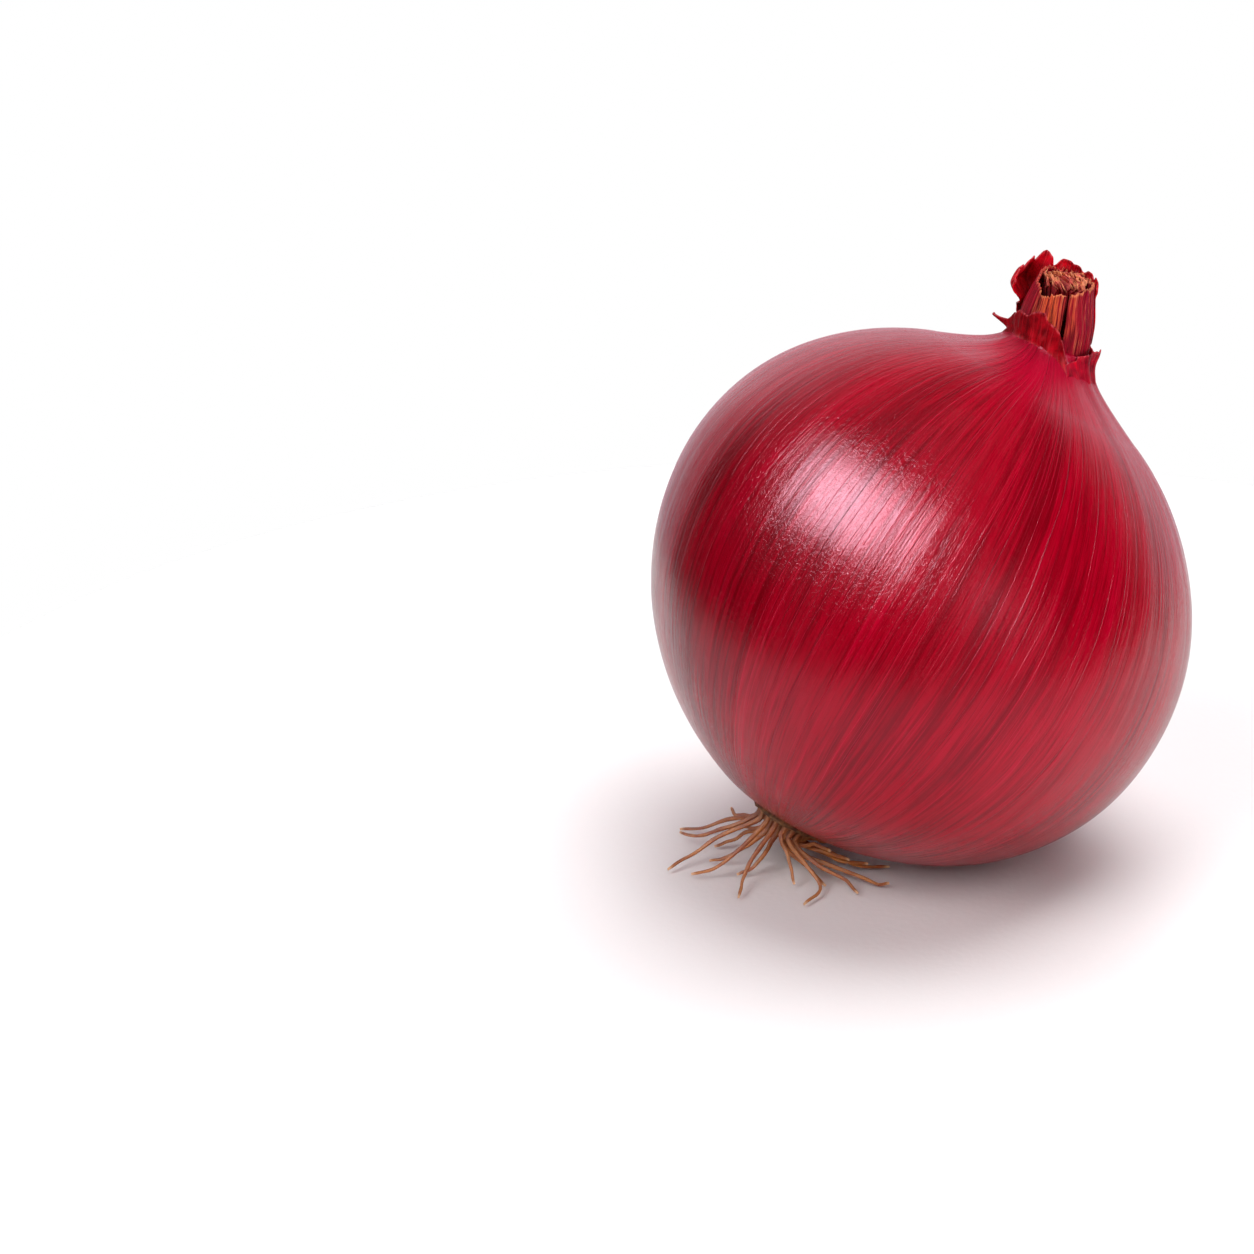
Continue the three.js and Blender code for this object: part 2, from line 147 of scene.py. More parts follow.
class BulbSettings(bpy.types.PropertyGroup):
    equator_radius: size_setting("Radius", "Half the bulb's width", 0.04)
    neck_half_height: size_setting("Neck half", "Middle to top of the round part", 0.0366)
    side_bulge: size_setting("Bulge", "How far one side swells below the middle", 0.0011)
    sides: IntProperty(
        name="Sides", description="Faces round the bulb before they are smoothed",
        default=180, min=24, max=240)
    skin_colour: colour_setting("Skin", "Main colour of the skin", linear(146, 0, 23))
    light_colour: colour_setting("Light skin", "Brighter streaks in the skin", linear(188, 0, 42))
    deep_colour: colour_setting("Deep skin", "Darker bands in the skin", linear(108, 0, 12))
    vein_colour: colour_setting("Veins", "Fine pale lines in the skin", linear(208, 26, 62))


class NeckSettings(bpy.types.PropertyGroup):
    leaf_thickness: size_setting("Leaf", "Thickness of a dry leaf base", 0.00042, 5)
    skin_thickness: size_setting("Skin", "Thickness of a dry skin", 0.00022, 5)
    flake_thickness: size_setting("Flake", "Thickness of a shrivelled flake inside", 0.00016, 5)
    collar_colour: colour_setting("Collar", "Dry red skin round the neck", linear(158, 0, 18))
    # The brown leaf colour shows most on the side that the key light falls on, partly as painted light
    leaf_colour: colour_setting("Brown leaf", "Dry leaf bases on the bright side", linear(218, 86, 52))
    red_leaf_colour: colour_setting("Red leaf", "Smooth dry leaf base", linear(214, 16, 56))
    torn_colour: colour_setting("Torn edge", "Pale fibres at the cut", linear(244, 150, 100))


class RootSettings(bpy.types.PropertyGroup):
    root_radius: size_setting("Radius", "Half the width of a root", 0.00032, 5)
    root_colour: colour_setting("Root", "Dried root", linear(184, 108, 48))
    tip_colour: colour_setting("Tip", "Broken tip of a root", linear(232, 180, 134))
    plate_colour: colour_setting("Plate", "Corky disc that the roots grow from", linear(126, 84, 50))


class StageSettings(bpy.types.PropertyGroup):
    floor_radius: size_setting("Floor radius", "Reach of the floor round the onion", 0.17, 2)
    # Pale floor colour with a faint pink in it: painted red light bounced from the bulb, which shows in the
    # floor's shadow
    floor_colour_and_bounce_pink: colour_setting("Floor", "Colour of the floor", (0.87, 0.84, 0.847))
    key_radiance: light_setting("Key shine", "Brightness of the softbox that shows as the highlight", 34)
    key_light: light_setting("Key", "Brightness of the main light", 4.7)
    top_radiance: light_setting("Top", "Brightness of the soft light above", 4.9)
    front_radiance: light_setting("Front", "Brightness of the soft light at the front right", 2.2)
    bounce_radiance: light_setting("Bounce", "Brightness of the low light at the right", 9)
    fill_radiance: light_setting("Second shine", "Brightness of the softbox beside the main one", 3)
    surround: light_setting("Surround", "Brightness of the white surroundings behind", 1)
    focal_length: FloatProperty(
        name="Lens", description="Focal length of the camera, in millimetres", default=100, min=10)


def smoothstep(low, high, value):
    share = min(max((value - low) / (high - low), 0.0), 1.0)
    return share * share * (3 - 2 * share)


def mix(low, high, share):
    return low + (high - low) * share


def around(angle, height=0):
    """A point at an angle on a circle of radius one, lifted to a height."""
    return Vector((math.cos(angle), math.sin(angle), height))


def bezier(points, share):
    """The point at a share of the way along a curve through four control points."""
    rest = 1 - share
    first, second, third, last = points
    return (
        first * rest ** 3
        + second * (3 * rest ** 2 * share)
        + third * (3 * rest * share ** 2)
        + last * share ** 3
    )


def between(pairs, angle):
    """A smooth value between (degrees, millimetres) pairs, whose degrees rise, given in metres."""
    turn = angle / DEGREE
    index = 0
    while index < len(pairs) - 2 and turn > pairs[index + 1][0]:
        index += 1
    (low_turn, low_value), (high_turn, high_value) = pairs[index], pairs[index + 1]
    return mix(low_value, high_value, smoothstep(low_turn, high_turn, turn)) * MM


# Centreline of the neck, in the bulb's own frame
NECK_DIRECTION = Vector((
    math.sin(NECK_BEND) * math.cos(NECK_BEND_SIDE),
    math.sin(NECK_BEND) * math.sin(NECK_BEND_SIDE),
    math.cos(NECK_BEND),
))
NECK_BASE = Vector((
    NECK_SHIFT * math.cos(NECK_SHIFT_SIDE),
    NECK_SHIFT * math.sin(NECK_SHIFT_SIDE),
    NECK_HEIGHT,
))
BEND_LENGTH = NECK_HEIGHT - NECK_BEND_START
NECK_BEND_CURVE = (
    Vector((0, 0, NECK_BEND_START)),
    Vector((0, 0, NECK_BEND_START + BEND_LENGTH * 0.4)),
    NECK_BASE - NECK_DIRECTION * BEND_LENGTH * 0.3,
    NECK_BASE,
)
NECK_TURN = Vector((0, 0, 1)).rotation_difference(NECK_DIRECTION)

# The stub moves over level with the ground
STUB_OFFSET = TO_PART.to_3x3().inverted() @ Vector((-STUB_SHIFT, 0, 0))


def place(angle, radius, height):
    """A point of the object from its angle, radius and height round the bulb's bent centreline."""
    centre = Vector((0, 0, height))
    if height > NECK_BEND_START:
        centre = bezier(NECK_BEND_CURVE, min((height - NECK_BEND_START) / BEND_LENGTH, 1))
        centre = centre + NECK_DIRECTION * max(height - NECK_HEIGHT, 0)
        centre = centre + STUB_OFFSET * smoothstep(*STUB_SHIFT_HEIGHTS, height)
    turn = Quaternion().slerp(NECK_TURN, smoothstep(NECK_TURN_START, NECK_TURN_END, height))
    offset = Vector((radius * math.cos(angle), radius * math.sin(angle), 0))
    offset.rotate(turn)
    return TO_PART @ (centre + offset)


def shoulder_height():
    bulb = bpy.context.scene.onion_bulb
    return bulb.neck_half_height * math.sqrt(1 - (SHOULDER_RADIUS / bulb.equator_radius) ** 2)


def flare_curve():
    """Control points, (radius, height), of the curve from the bulb's shoulder into its neck."""
    shoulder = shoulder_height()
    return (
        Vector((SHOULDER_RADIUS, shoulder)),
        Vector((SHOULDER_RADIUS - 0.006, shoulder + 0.0022)),
        Vector((NECK_RADIUS + 0.0005, NECK_HEIGHT - 0.0035)),
        Vector((NECK_RADIUS, NECK_HEIGHT)),
    )


def flare_radius(height):
    curve = flare_curve()
    low, high = 0.0, 1.0
    for _ in range(20):
        middle = (low + high) / 2
        if bezier(curve, middle).y < height:
            low = middle
        else:
            high = middle
    return bezier(curve, low).x


def skin_relief(angle, radius, height):
    """How far the skin stands out from the round profile: a swollen side, soft lobes and neck pleats."""
    slope = math.atan2(radius, height)
    bulge = bpy.context.scene.onion_bulb.side_bulge
    swell = -bulge * math.sin(2 * slope) * math.cos(angle - BULGE_SIDE)
    lobes = math.cos(3 * angle + 0.6) + 0.6 * math.cos(5 * angle + 2.1) + 0.4 * math.cos(8 * angle + 4)
    pleats = NECK_PLEAT_HEIGHT * math.cos(12 * angle) * smoothstep(0.030, 0.039, height)
    fade = smoothstep(0.002, SHOULDER_RADIUS, radius)
    return fade * (swell + LOBE_HEIGHT * lobes) + pleats


def leaf_radius(angle, height):
    """Radius of the ring of leaf bases, which narrows to its top and swells at the middle of one side."""
    swell = smoothstep(*STUB_SWELL_RISE, height) * (1 - smoothstep(*STUB_SWELL_FALL, height))
    swell *= STUB_SWELL * max(math.cos(angle - STUB_SWELL_SIDE), 0)
    return mix(LEAF_BASE_RADIUS, LEAF_TOP_RADIUS, (height - LEAF_FOOT) / (LEAF_TOP - LEAF_FOOT)) + swell


def crumple(point, size, seed):
    """A smooth seeded value, about -1 to 1, that changes over lengths of about size."""
    return noise.noise(point / size + Vector((seed * 17.3, seed * 5.1, seed * 9.7)))


def deselect_all():
    if bpy.context.mode != "OBJECT":
        bpy.ops.object.mode_set(mode="OBJECT")
    bpy.ops.object.select_all(action="DESELECT")


def apply_modifier(piece, kind, **settings):
    bpy.context.view_layer.objects.active = piece
    modifier = piece.modifiers.new(kind.title(), kind)
    for setting, value in settings.items():
        setattr(modifier, setting, value)
    bpy.ops.object.modifier_apply(modifier=modifier.name)


def grow_shell(name, sides, profile, levels=0):
    """A closed round shell, made by extruding a circle from ring to ring of its (radius, height) profile."""
    deselect_all()
    radius, height = profile[0]
    bpy.ops.mesh.primitive_circle_add(vertices=sides, radius=radius, location=(0, 0, height))
    piece = bpy.context.object
    piece.name = name
    bpy.ops.object.transform_apply(location=True, rotation=False, scale=False)
    bpy.ops.object.mode_set(mode="EDIT")
    bpy.ops.mesh.select_mode(type="VERT")
    bpy.ops.mesh.select_all(action="SELECT")
    for next_radius, next_height in profile[1:]:
        bpy.ops.mesh.extrude_edges_indiv()
        bpy.ops.transform.translate(value=(0, 0, next_height - height))
        share = next_radius / radius
        bpy.ops.transform.resize(value=(share, share, 1), center_override=(0, 0, next_height))
        radius, height = next_radius, next_height
    bpy.ops.object.mode_set(mode="OBJECT")
    if levels:
        apply_modifier(piece, "SUBSURF", levels=levels, render_levels=levels)
    bpy.ops.object.mode_set(mode="EDIT")
    bpy.ops.mesh.select_all(action="SELECT")
    bpy.ops.mesh.fill_holes(sides=0)
    bpy.ops.mesh.select_mode(type="FACE")
    bpy.ops.mesh.select_all(action="DESELECT")
    bpy.ops.mesh.select_face_by_sides(number=4, type="GREATER")
    bpy.ops.mesh.poke()
    bpy.ops.mesh.select_all(action="SELECT")
    bpy.ops.mesh.normals_make_consistent(inside=False)
    bpy.ops.object.mode_set(mode="OBJECT")
    return piece


def write_vectors(piece, name, vectors):
    attribute = piece.data.attributes.new(name, "FLOAT_VECTOR", "POINT")
    attribute.data.foreach_set("vector", [value for vector in vectors for value in vector])


def write_values(piece, name, values):
    attribute = piece.data.attributes.new(name, "FLOAT", "POINT")
    attribute.data.foreach_set("value", values)


def write_wrap(piece, name, turns, shares):
    """A UV map whose first number goes once round the piece and whose second runs along it."""
    layer = piece.data.uv_layers.new(name=name)
    for polygon in piece.data.polygons:
        highest = max(turns[vertex] for vertex in polygon.vertices)
        for loop, vertex in zip(polygon.loop_indices, polygon.vertices):
            crosses_seam = highest - turns[vertex] > 0.5
            layer.data[loop].uv = (turns[vertex] + (1 if crosses_seam else 0), shares[vertex])


def bend_sheet(name, columns, rows, surface, thickness):
    """A thin sheet: a grid whose columns run round and rows run up, moved onto a surface and thickened.

    The surface takes two shares, 0 to 1, and gives an angle, a radius and a height. It is the outer face.
    """
    deselect_all()
    bpy.ops.mesh.primitive_grid_add(x_subdivisions=columns, y_subdivisions=rows, size=1)
    piece = bpy.context.object
    piece.name = name
    grain = []
    for vertex in piece.data.vertices:
        across, up = vertex.co.x + 0.5, vertex.co.y + 0.5
        angle, radius, height = surface(across, up)
        grain.append(around(angle, up))
        vertex.co = place(angle, radius, height)
    write_vectors(piece, "grain", grain)
    apply_modifier(piece, "SOLIDIFY", thickness=thickness, offset=-1, use_even_offset=True)
    apply_modifier(piece, "SUBSURF", levels=1, render_levels=1)
    piece.data.shade_smooth()
    return piece


def finish_piece(piece, nodes, material):
    piece.data.materials.clear()
    piece.data.materials.append(material)
    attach(piece, "root")
    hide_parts(*nodes)


class Nodes:
    """A node tree under way: each call adds a node and gives back the socket to go on from."""

    def __init__(self, tree):
        self.tree = tree

    def feed(self, socket, value):
        if isinstance(value, bpy.types.NodeSocket):
            self.tree.links.new(value, socket)
        elif hasattr(value, "__len__") and len(value) == 3 and socket.type == "RGBA":
            socket.default_value = (*value, 1)
        else:
            socket.default_value = value

    def add(self, kind, inputs, output=0, **settings):
        node = self.tree.nodes.new(kind)
        for setting, value in settings.items():
            setattr(node, setting, value)
        for socket, value in inputs.items():
            self.feed(node.inputs[socket], value)
        return node.outputs[output]

    def remap(self, value, low, high, new_low=0.0, new_high=1.0):
        inputs = {"Value": value, 1: low, 2: high, 3: new_low, 4: new_high}
        return self.add("ShaderNodeMapRange", inputs, interpolation_type="SMOOTHSTEP")

    def times(self, first, second):
        return self.add("ShaderNodeMath", {0: first, 1: second}, operation="MULTIPLY")

    def plus(self, first, second, share=1.0):
        """The first value and a share of the second."""
        return self.add("ShaderNodeMath", {0: second, 1: share, 2: first}, operation="MULTIPLY_ADD")

    def towards(self, vector, side):
        """How far a direction points towards one side."""
        return self.add("ShaderNodeVectorMath", {0: vector, 1: side}, "Value", operation="DOT_PRODUCT")


class Finish(Nodes):
    """A material under way, with patterns that follow the piece."""

    def __init__(self, name):
        self.material = bpy.data.materials.new(name)
        self.material.use_nodes = True
        super().__init__(self.material.node_tree)
        self.shader = self.tree.nodes["Principled BSDF"]

    def attribute(self, name, output="Vector"):
        return self.add("ShaderNodeAttribute", {}, output, attribute_name=name)

    def coordinates(self):
        return self.add("ShaderNodeTexCoord", {}, "Object")

    def part(self, vector, axis):
        return self.add("ShaderNodeSeparateXYZ", {0: vector}, axis)

    def stretch(self, vector, scale, shift):
        """The vector times a scale, which is one number or one for each axis, and moved by a shift."""
        scale = scale if isinstance(scale, tuple) else (scale, scale, scale)
        return self.add("ShaderNodeMapping", {"Vector": vector, "Scale": scale, "Location": shift})

    def noise(self, vector, scale, detail, roughness=0.55, distortion=0.0, shift=(0, 0, 0)):
        inputs = {
            "Vector": self.stretch(vector, scale, shift),
            "Scale": 1.0,
            "Detail": detail,
            "Roughness": roughness,
            "Distortion": distortion,
        }
        return self.add("ShaderNodeTexNoise", inputs)

    def cells(self, vector, scale, feature, shift=(0, 0, 0)):
        inputs = {"Vector": self.stretch(vector, scale, shift), "Scale": 1.0}
        return self.add("ShaderNodeTexVoronoi", inputs, "Distance", feature=feature)

    def lines(self, turn, count):
        """The distance to the nearest of about count uneven lines along the piece, in line spacings."""
        settings = {"voronoi_dimensions": "1D", "feature": "DISTANCE_TO_EDGE"}
        inputs = {"W": self.times(turn, count), "Scale": 1.0}
        return self.add("ShaderNodeTexVoronoi", inputs, "Distance", **settings)

    def blend(self, factor, first, second, share=1.0):
        """The second colour over the first, by a factor that a share may weaken."""
        if share < 1:
            factor = self.times(factor, share)
        return self.add("ShaderNodeMix", {0: factor, 6: first, 7: second}, 2, data_type="RGBA")

    def bump(self, height, distance, normal=None):
        inputs = {"Height": height, "Distance": distance, "Strength": 1.0}
        if normal is not None:
            inputs["Normal"] = normal
        return self.add("ShaderNodeBump", inputs)

    def dress(self, colour, roughness, normal, gloss, tint=(1, 1, 1)):
        """Sets the shader's own sockets and gives back the finished material."""
        sockets = {
            "Base Color": colour,
            "Roughness": roughness,
            "Normal": normal,
            "Specular IOR Level": gloss,
            "Specular Tint": tint,
        }
        for name, value in sockets.items():
            self.feed(self.shader.inputs[name], value)
        return self.material


# Colours within the finishes, beside those of the settings
NECK_PINK = linear(172, 2, 44)
ROOT_END_BROWN = linear(120, 44, 20)
CREASE_RED = linear(120, 0, 18)
BLOTCH_RED = linear(200, 4, 34)
DRY_VEIN_PINK = linear(190, 50, 60)
WORN_EDGE_PINK = linear(214, 84, 92)
COLLAR_FOOT_RED = linear(170, 6, 40)
RIGHT_COLLAR_RED = linear(158, 6, 34)
SCRAP_RED = linear(196, 4, 24)
# Dark red at the scraps' foot: painted shade down in the gap between the scraps and the neck
SCRAP_FOOT_SHADE_RED = linear(96, 0, 12)
BROWN_LEAF_FOOT = linear(158, 16, 40)
# Far round from the lit side: the brown leaf turns to its own red mixed with painted shade
BROWN_LEAF_FAR_RED_AND_SHADE = linear(150, 14, 54)
RED_LEAF_FOOT = linear(170, 4, 40)
# Far round from the lit side: a darker copy of the red leaf's colour, painted shade
RED_LEAF_FAR_SHADE = linear(186, 8, 46)
FLAKE_TAN = linear(222, 142, 100)
FLAKE_PINK = linear(200, 82, 76)
FLAKE_FOLD = linear(128, 20, 30)
# Deep red for the low parts of the inner flakes: painted shade in the hollow of the neck
HOLLOW_SHADE_RED = linear(150, 2, 22)
ROOT_RUST = linear(150, 70, 28)
ROOT_STREAK = linear(216, 148, 84)
ROOT_CRACK = linear(70, 30, 12)
ROOT_START = linear(84, 44, 22)
PLATE_CRUMB_EDGE = linear(72, 40, 26)
PLATE_PATCH = linear(168, 124, 84)
PLATE_GRIT = linear(50, 26, 18)


def bulb_finish():
    """Glossy crimson skin with pale veins, dark creases and soft bands that run from neck to root."""
    bulb = bpy.context.scene.onion_bulb
    finish = Finish("bulb_skin")
    grain = finish.attribute("skin_grain")
    girth = finish.attribute("skin_girth", "Fac")
    slope = finish.part(grain, "Z")
    spots = finish.coordinates()

    # Long soft bands and fine streaks along the skin
    bands = finish.noise(grain, (4, 4, 0.6), 2)
    streaks = finish.noise(grain, (52, 52, 1.8), 4, 0.66)
    hairs = finish.noise(grain, (190, 190, 6), 2, shift=(3, 1, 2))
    tone = finish.plus(finish.times(bands, 0.44), streaks, 0.56)
    colour = finish.blend(finish.remap(tone, 0.38, 0.54), bulb.deep_colour, bulb.skin_colour)
    colour = finish.blend(finish.remap(tone, 0.52, 0.7, 0, 0.6), colour, bulb.light_colour)
    colour = finish.blend(finish.remap(hairs, 0.5, 0.34, 0, 0.6), colour, bulb.deep_colour)

    # The skin is pinker towards the neck and browner round the roots
    colour = finish.blend(finish.remap(slope, 0.75, 0.2, 0, 0.6), colour, NECK_PINK)
    root_zone = finish.times(finish.remap(slope, 2.72, 3.02), finish.remap(streaks, 0.3, 0.6))
    colour = finish.blend(root_zone, colour, ROOT_END_BROWN)

    # Pale veins and dark creases that wander a little, of one width from equator to neck
    turn = finish.part(finish.add("ShaderNodeUVMap", {}, uv_map="skin_wrap"), "X")
    turn = finish.plus(turn, finish.noise(grain, (3, 3, 1.1), 2, shift=(4, 4, 4)), 0.012)

    def strands(start, count, wide, narrow, patches, low, high):
        width = finish.times(finish.lines(start, count), girth)
        return finish.times(finish.remap(width, wide, narrow), finish.remap(patches, low, high))

    vein_patches = finish.noise(grain, (11, 11, 0.9), 2, shift=(5, 2, 1))
    veins = strands(turn, 113, 0.026, 0.006, vein_patches, 0.42, 0.64)
    fine_patches = finish.noise(grain, (15, 15, 1.6), 2, shift=(2, 9, 4))
    fine_veins = strands(turn, 307, 0.07, 0.01, fine_patches, 0.4, 0.66)
    crease_patches = finish.noise(grain, (8, 8, 0.9), 1, shift=(8, 3, 5))
    creases = strands(finish.plus(turn, 0.37), 67, 0.013, 0.004, crease_patches, 0.44, 0.6)
    colour = finish.blend(veins, colour, bulb.vein_colour, 0.5)
    colour = finish.blend(fine_veins, colour, bulb.vein_colour, 0.34)
    colour = finish.blend(creases, colour, CREASE_RED, 0.7)

    # Fine leathery wrinkles under long ridges
    relief = finish.plus(finish.times(streaks, 0.5), hairs, 0.16)
    relief = finish.plus(finish.plus(relief, veins, 0.25), creases, -0.45)
    wrinkles = finish.noise(spots, 1600, 3, 0.7, 1.6)
    normal = finish.bump(wrinkles, 0.000048, finish.bump(relief, 0.00019))
    patches = finish.noise(spots, 90, 3)
    rough = finish.plus(finish.remap(patches, 0.3, 0.7, 0.14, 0.2), hairs, 0.06)
    rough = finish.plus(rough, creases, 0.14)
    return finish.dress(colour, rough, normal, 0.34, (1, 0.6, 0.76))


def dry_skin_finish(name, colour, skin_colour, seed):
    """Papery dry skin: blotchy, faintly veined and worn at its edge, and at its foot blended to a given
    colour: the living skin's red on the collars, a painted shade on the scraps.
    """
    finish = Finish(name)
    grain = finish.attribute("grain")
    share = finish.part(grain, "Z")
    spots = finish.coordinates()
    streaks = finish.noise(grain, (20, 20, 1.6), 4, 0.6, shift=(seed, 0, 0))
    patches = finish.noise(spots, 420, 4, 0.6, shift=(seed, 2, 0))
    tone = finish.plus(finish.times(patches, 0.65), streaks, 0.35)
    base = finish.blend(finish.remap(tone, 0.38, 0.56), darker(colour, 0.42), colour)
    base = finish.blend(finish.remap(tone, 0.54, 0.66, 0, 0.85), base, BLOTCH_RED)
    veins = finish.remap(finish.cells(grain, (6, 6, 0.3), "DISTANCE_TO_EDGE", (seed, 1, 3)), 0.04, 0.01)
    base = finish.blend(veins, base, DRY_VEIN_PINK, 0.25)
    # Low down, blend to the foot colour: the living skin's red on the collars, painted shade on the scraps
    foot = finish.plus(share, finish.plus(patches, -0.5), 0.5)
    base = finish.blend(finish.remap(foot, 0.26, 0.04), base, skin_colour)
    edge = finish.times(finish.remap(share, 0.95, 1.0), finish.remap(streaks, 0.42, 0.6))
    base = finish.blend(edge, base, WORN_EDGE_PINK, 0.6)
    wrinkles = finish.noise(spots, 1500, 4, 0.6, 1.0)
    normal = finish.bump(finish.plus(streaks, veins, 0.2), 0.00016)
    normal = finish.bump(wrinkles, 0.00007, normal)
    return finish.dress(base, finish.remap(patches, 0.3, 0.7, 0.42, 0.6), normal, 0.12, (1, 0.6, 0.66))


def leaf_finish(name, colour, foot_colour, far_colour_and_shade, torn_amount, seed):
    """Dried leaf base: fibres run up it, redder low down and far round, with pale torn spots at its top.
    Towards the side that the key light falls on it is painted lighter and browner. Far round from it, it is
    darker, partly its own red and partly painted shade.
    """
    torn_colour = bpy.context.scene.onion_neck.torn_colour
    finish = Finish(name)
    grain = finish.attribute("grain")
    share = finish.part(grain, "Z")
    fibres = finish.noise(grain, (30, 30, 1.6), 4, 0.65, shift=(seed, 0, 0))
    strips = finish.noise(grain, (8, 8, 0.8), 2, shift=(0, seed, 0))
    # Painted light and shade: lighter and browner towards the side that the key light falls on, darker and
    # redder away from it, partly the leaf's own colours
    facing_lit_side = finish.towards(grain, LEAF_LIT_BROWN_SIDE)
    base = finish.blend(finish.remap(facing_lit_side, 0.96, 0.55), colour, far_colour_and_shade)
    base = finish.blend(finish.remap(strips, 0.44, 0.58, 0, 0.9), base, foot_colour)
    base = finish.blend(finish.remap(finish.plus(share, strips, 0.35), 0.75, 0.35), base, foot_colour)
    base = finish.blend(finish.remap(fibres, 0.52, 0.38, 0, 0.86), base, darker(foot_colour, 0.25))
    base = finish.blend(finish.remap(fibres, 0.54, 0.72, 0, torn_amount), base, torn_colour)
    torn = finish.remap(finish.plus(share, finish.plus(fibres, -0.5), 0.22), 0.96, 1.0)
    base = finish.blend(torn, base, torn_colour, torn_amount)
    wrinkles = finish.noise(finish.coordinates(), 2200, 4, 0.6, 0.6)
    normal = finish.bump(wrinkles, 0.00006, finish.bump(fibres, 0.00028))
    return finish.dress(base, finish.remap(fibres, 0.3, 0.7, 0.48, 0.7), normal, 0.1, (1, 0.6, 0.6))


def inner_finish():
    """Shrivelled inner leaves: tan and pink fibres on dark folds, turning deep red low down as painted shade
    in the hollow of the neck.
    """
    finish = Finish("inner_leaf")
    share = finish.part(finish.attribute("grain"), "Z")
    spots = finish.coordinates()
    fibres = finish.noise(spots, (1900, 900, 900), 4, 0.7)
    base = finish.blend(finish.remap(finish.noise(spots, 520, 2), 0.42, 0.58), FLAKE_TAN, FLAKE_PINK)
    base = finish.blend(finish.remap(fibres, 0.48, 0.34), base, FLAKE_FOLD)
    torn_colour = bpy.context.scene.onion_neck.torn_colour
    base = finish.blend(finish.remap(fibres, 0.56, 0.7, 0, 0.85), base, torn_colour)
    # Painted shade: deep red low down, in the hollow of the neck
    base = finish.blend(finish.remap(share, 0.92, 0.8), base, HOLLOW_SHADE_RED)
    return finish.dress(base, 0.8, finish.bump(fibres, 0.0003), 0.1)


def root_finish():
    """Dried root: brown, with streaks along it and a pale broken tip."""
    roots = bpy.context.scene.onion_roots
    finish = Finish("root")
    share = finish.attribute("root_share", "Fac")
    streaks = finish.noise(finish.attribute("root_grain"), (1.6, 1.6, 420), 4, 0.6)
    spots = finish.noise(finish.coordinates(), 260, 3)
    base = finish.blend(finish.remap(spots, 0.35, 0.65), roots.root_colour, ROOT_RUST)
    base = finish.blend(finish.remap(streaks, 0.52, 0.7, 0, 0.7), base, ROOT_STREAK)
    base = finish.blend(finish.remap(streaks, 0.45, 0.3, 0, 0.8), base, ROOT_CRACK)
    base = finish.blend(finish.remap(share, 0.3, 0.0, 0, 0.6), base, ROOT_START)
    base = finish.blend(finish.remap(share, 0.94, 1.0), base, roots.tip_colour)
    return finish.dress(base, 0.62, finish.bump(streaks, 0.00025), 0.4)


def plate_finish():
    """Corky root plate: brown crumbs with pale edges."""
    plate_colour = bpy.context.scene.onion_roots.plate_colour
    finish = Finish("root_plate")
    spots = finish.coordinates()
    crumbs = finish.cells(spots, 900, "F1")
    grit = finish.noise(spots, 2400, 4, 0.7)
    base = finish.blend(finish.remap(crumbs, 0.2, 0.8), plate_colour, PLATE_CRUMB_EDGE)
    pale = finish.remap(finish.noise(spots, 300, 3), 0.45, 0.65, 0, 0.7)
    base = finish.blend(pale, base, PLATE_PATCH)
    base = finish.blend(finish.remap(grit, 0.5, 0.34, 0, 0.7), base, PLATE_GRIT)
    return finish.dress(base, 0.88, finish.bump(finish.plus(grit, crumbs, -0.5), 0.0004), 0.25)


def floor_finish():
    """Matt white paper with a faint tooth, tinted faintly pink as painted light bounced from the red bulb
    into its shadow.
    """
    colour = bpy.context.scene.onion_stage.floor_colour_and_bounce_pink
    finish = Finish("floor_paper")
    spots = finish.coordinates()
    clouds = finish.remap(finish.noise(spots, 4, 2), 0.3, 0.7)
    base = finish.blend(clouds, colour, darker(colour, 0.985))
    return finish.dress(base, 0.9, finish.bump(finish.noise(spots, 900, 3), 0.00004), 0.2)


def bulb_profile():
    """(radius, height) of each ring, from the root recess round the equator and up the neck."""
    bulb = bpy.context.scene.onion_bulb
    lower_rings, upper_rings, flare_rings = 22, 14, 14
    profile = []
    for ring in range(1, lower_rings + 1):
        slope = ring / lower_rings * math.pi / 2
        radius = bulb.equator_radius * math.sin(slope) ** (2 / ROOT_FULLNESS)
        height = -ROOT_HALF_HEIGHT * max(math.cos(slope), 0) ** (2 / ROOT_FULLNESS)
        recess = RECESS_DEPTH * (1 - smoothstep(RECESS_RADIUS - 0.0015, RECESS_RADIUS + 0.0008, radius))
        profile.append((radius, height + recess))
    shoulder_slope = math.asin(shoulder_height() / bulb.neck_half_height)
    for ring in range(1, upper_rings):
        slope = ring / upper_rings * shoulder_slope
        profile.append((bulb.equator_radius * math.cos(slope), bulb.neck_half_height * math.sin(slope)))
    curve = flare_curve()
    for ring in range(flare_rings + 1):
        point = bezier(curve, ring / flare_rings)
        profile.append((point.x, point.y))
    profile.append((NECK_RADIUS * 0.8, NECK_HEIGHT + 0.0002))
    profile.append((NECK_RADIUS * 0.4, NECK_HEIGHT + 0.0001))
    return profile


def seeded_ridges(count, seed):
    """Long low ridges and grooves: each one's place, size and the stretch of skin that it runs over."""
    random.seed(seed)
    ridges = []
    for index in range(count):
        angle = (index + random.uniform(-0.4, 0.4)) / count * FULL_TURN
        ridges.append({
            "angle": angle,
            "width": random.uniform(0.00035, 0.0011),
            "height": random.choice((-1, 1, 1)) * random.uniform(0.00001, 0.00006),
            "top": random.uniform(-0.1, 0.25),
            "foot": random.uniform(1.0, 2.9),
            "drift": random.uniform(-0.05, 0.05),
        })
    return ridges


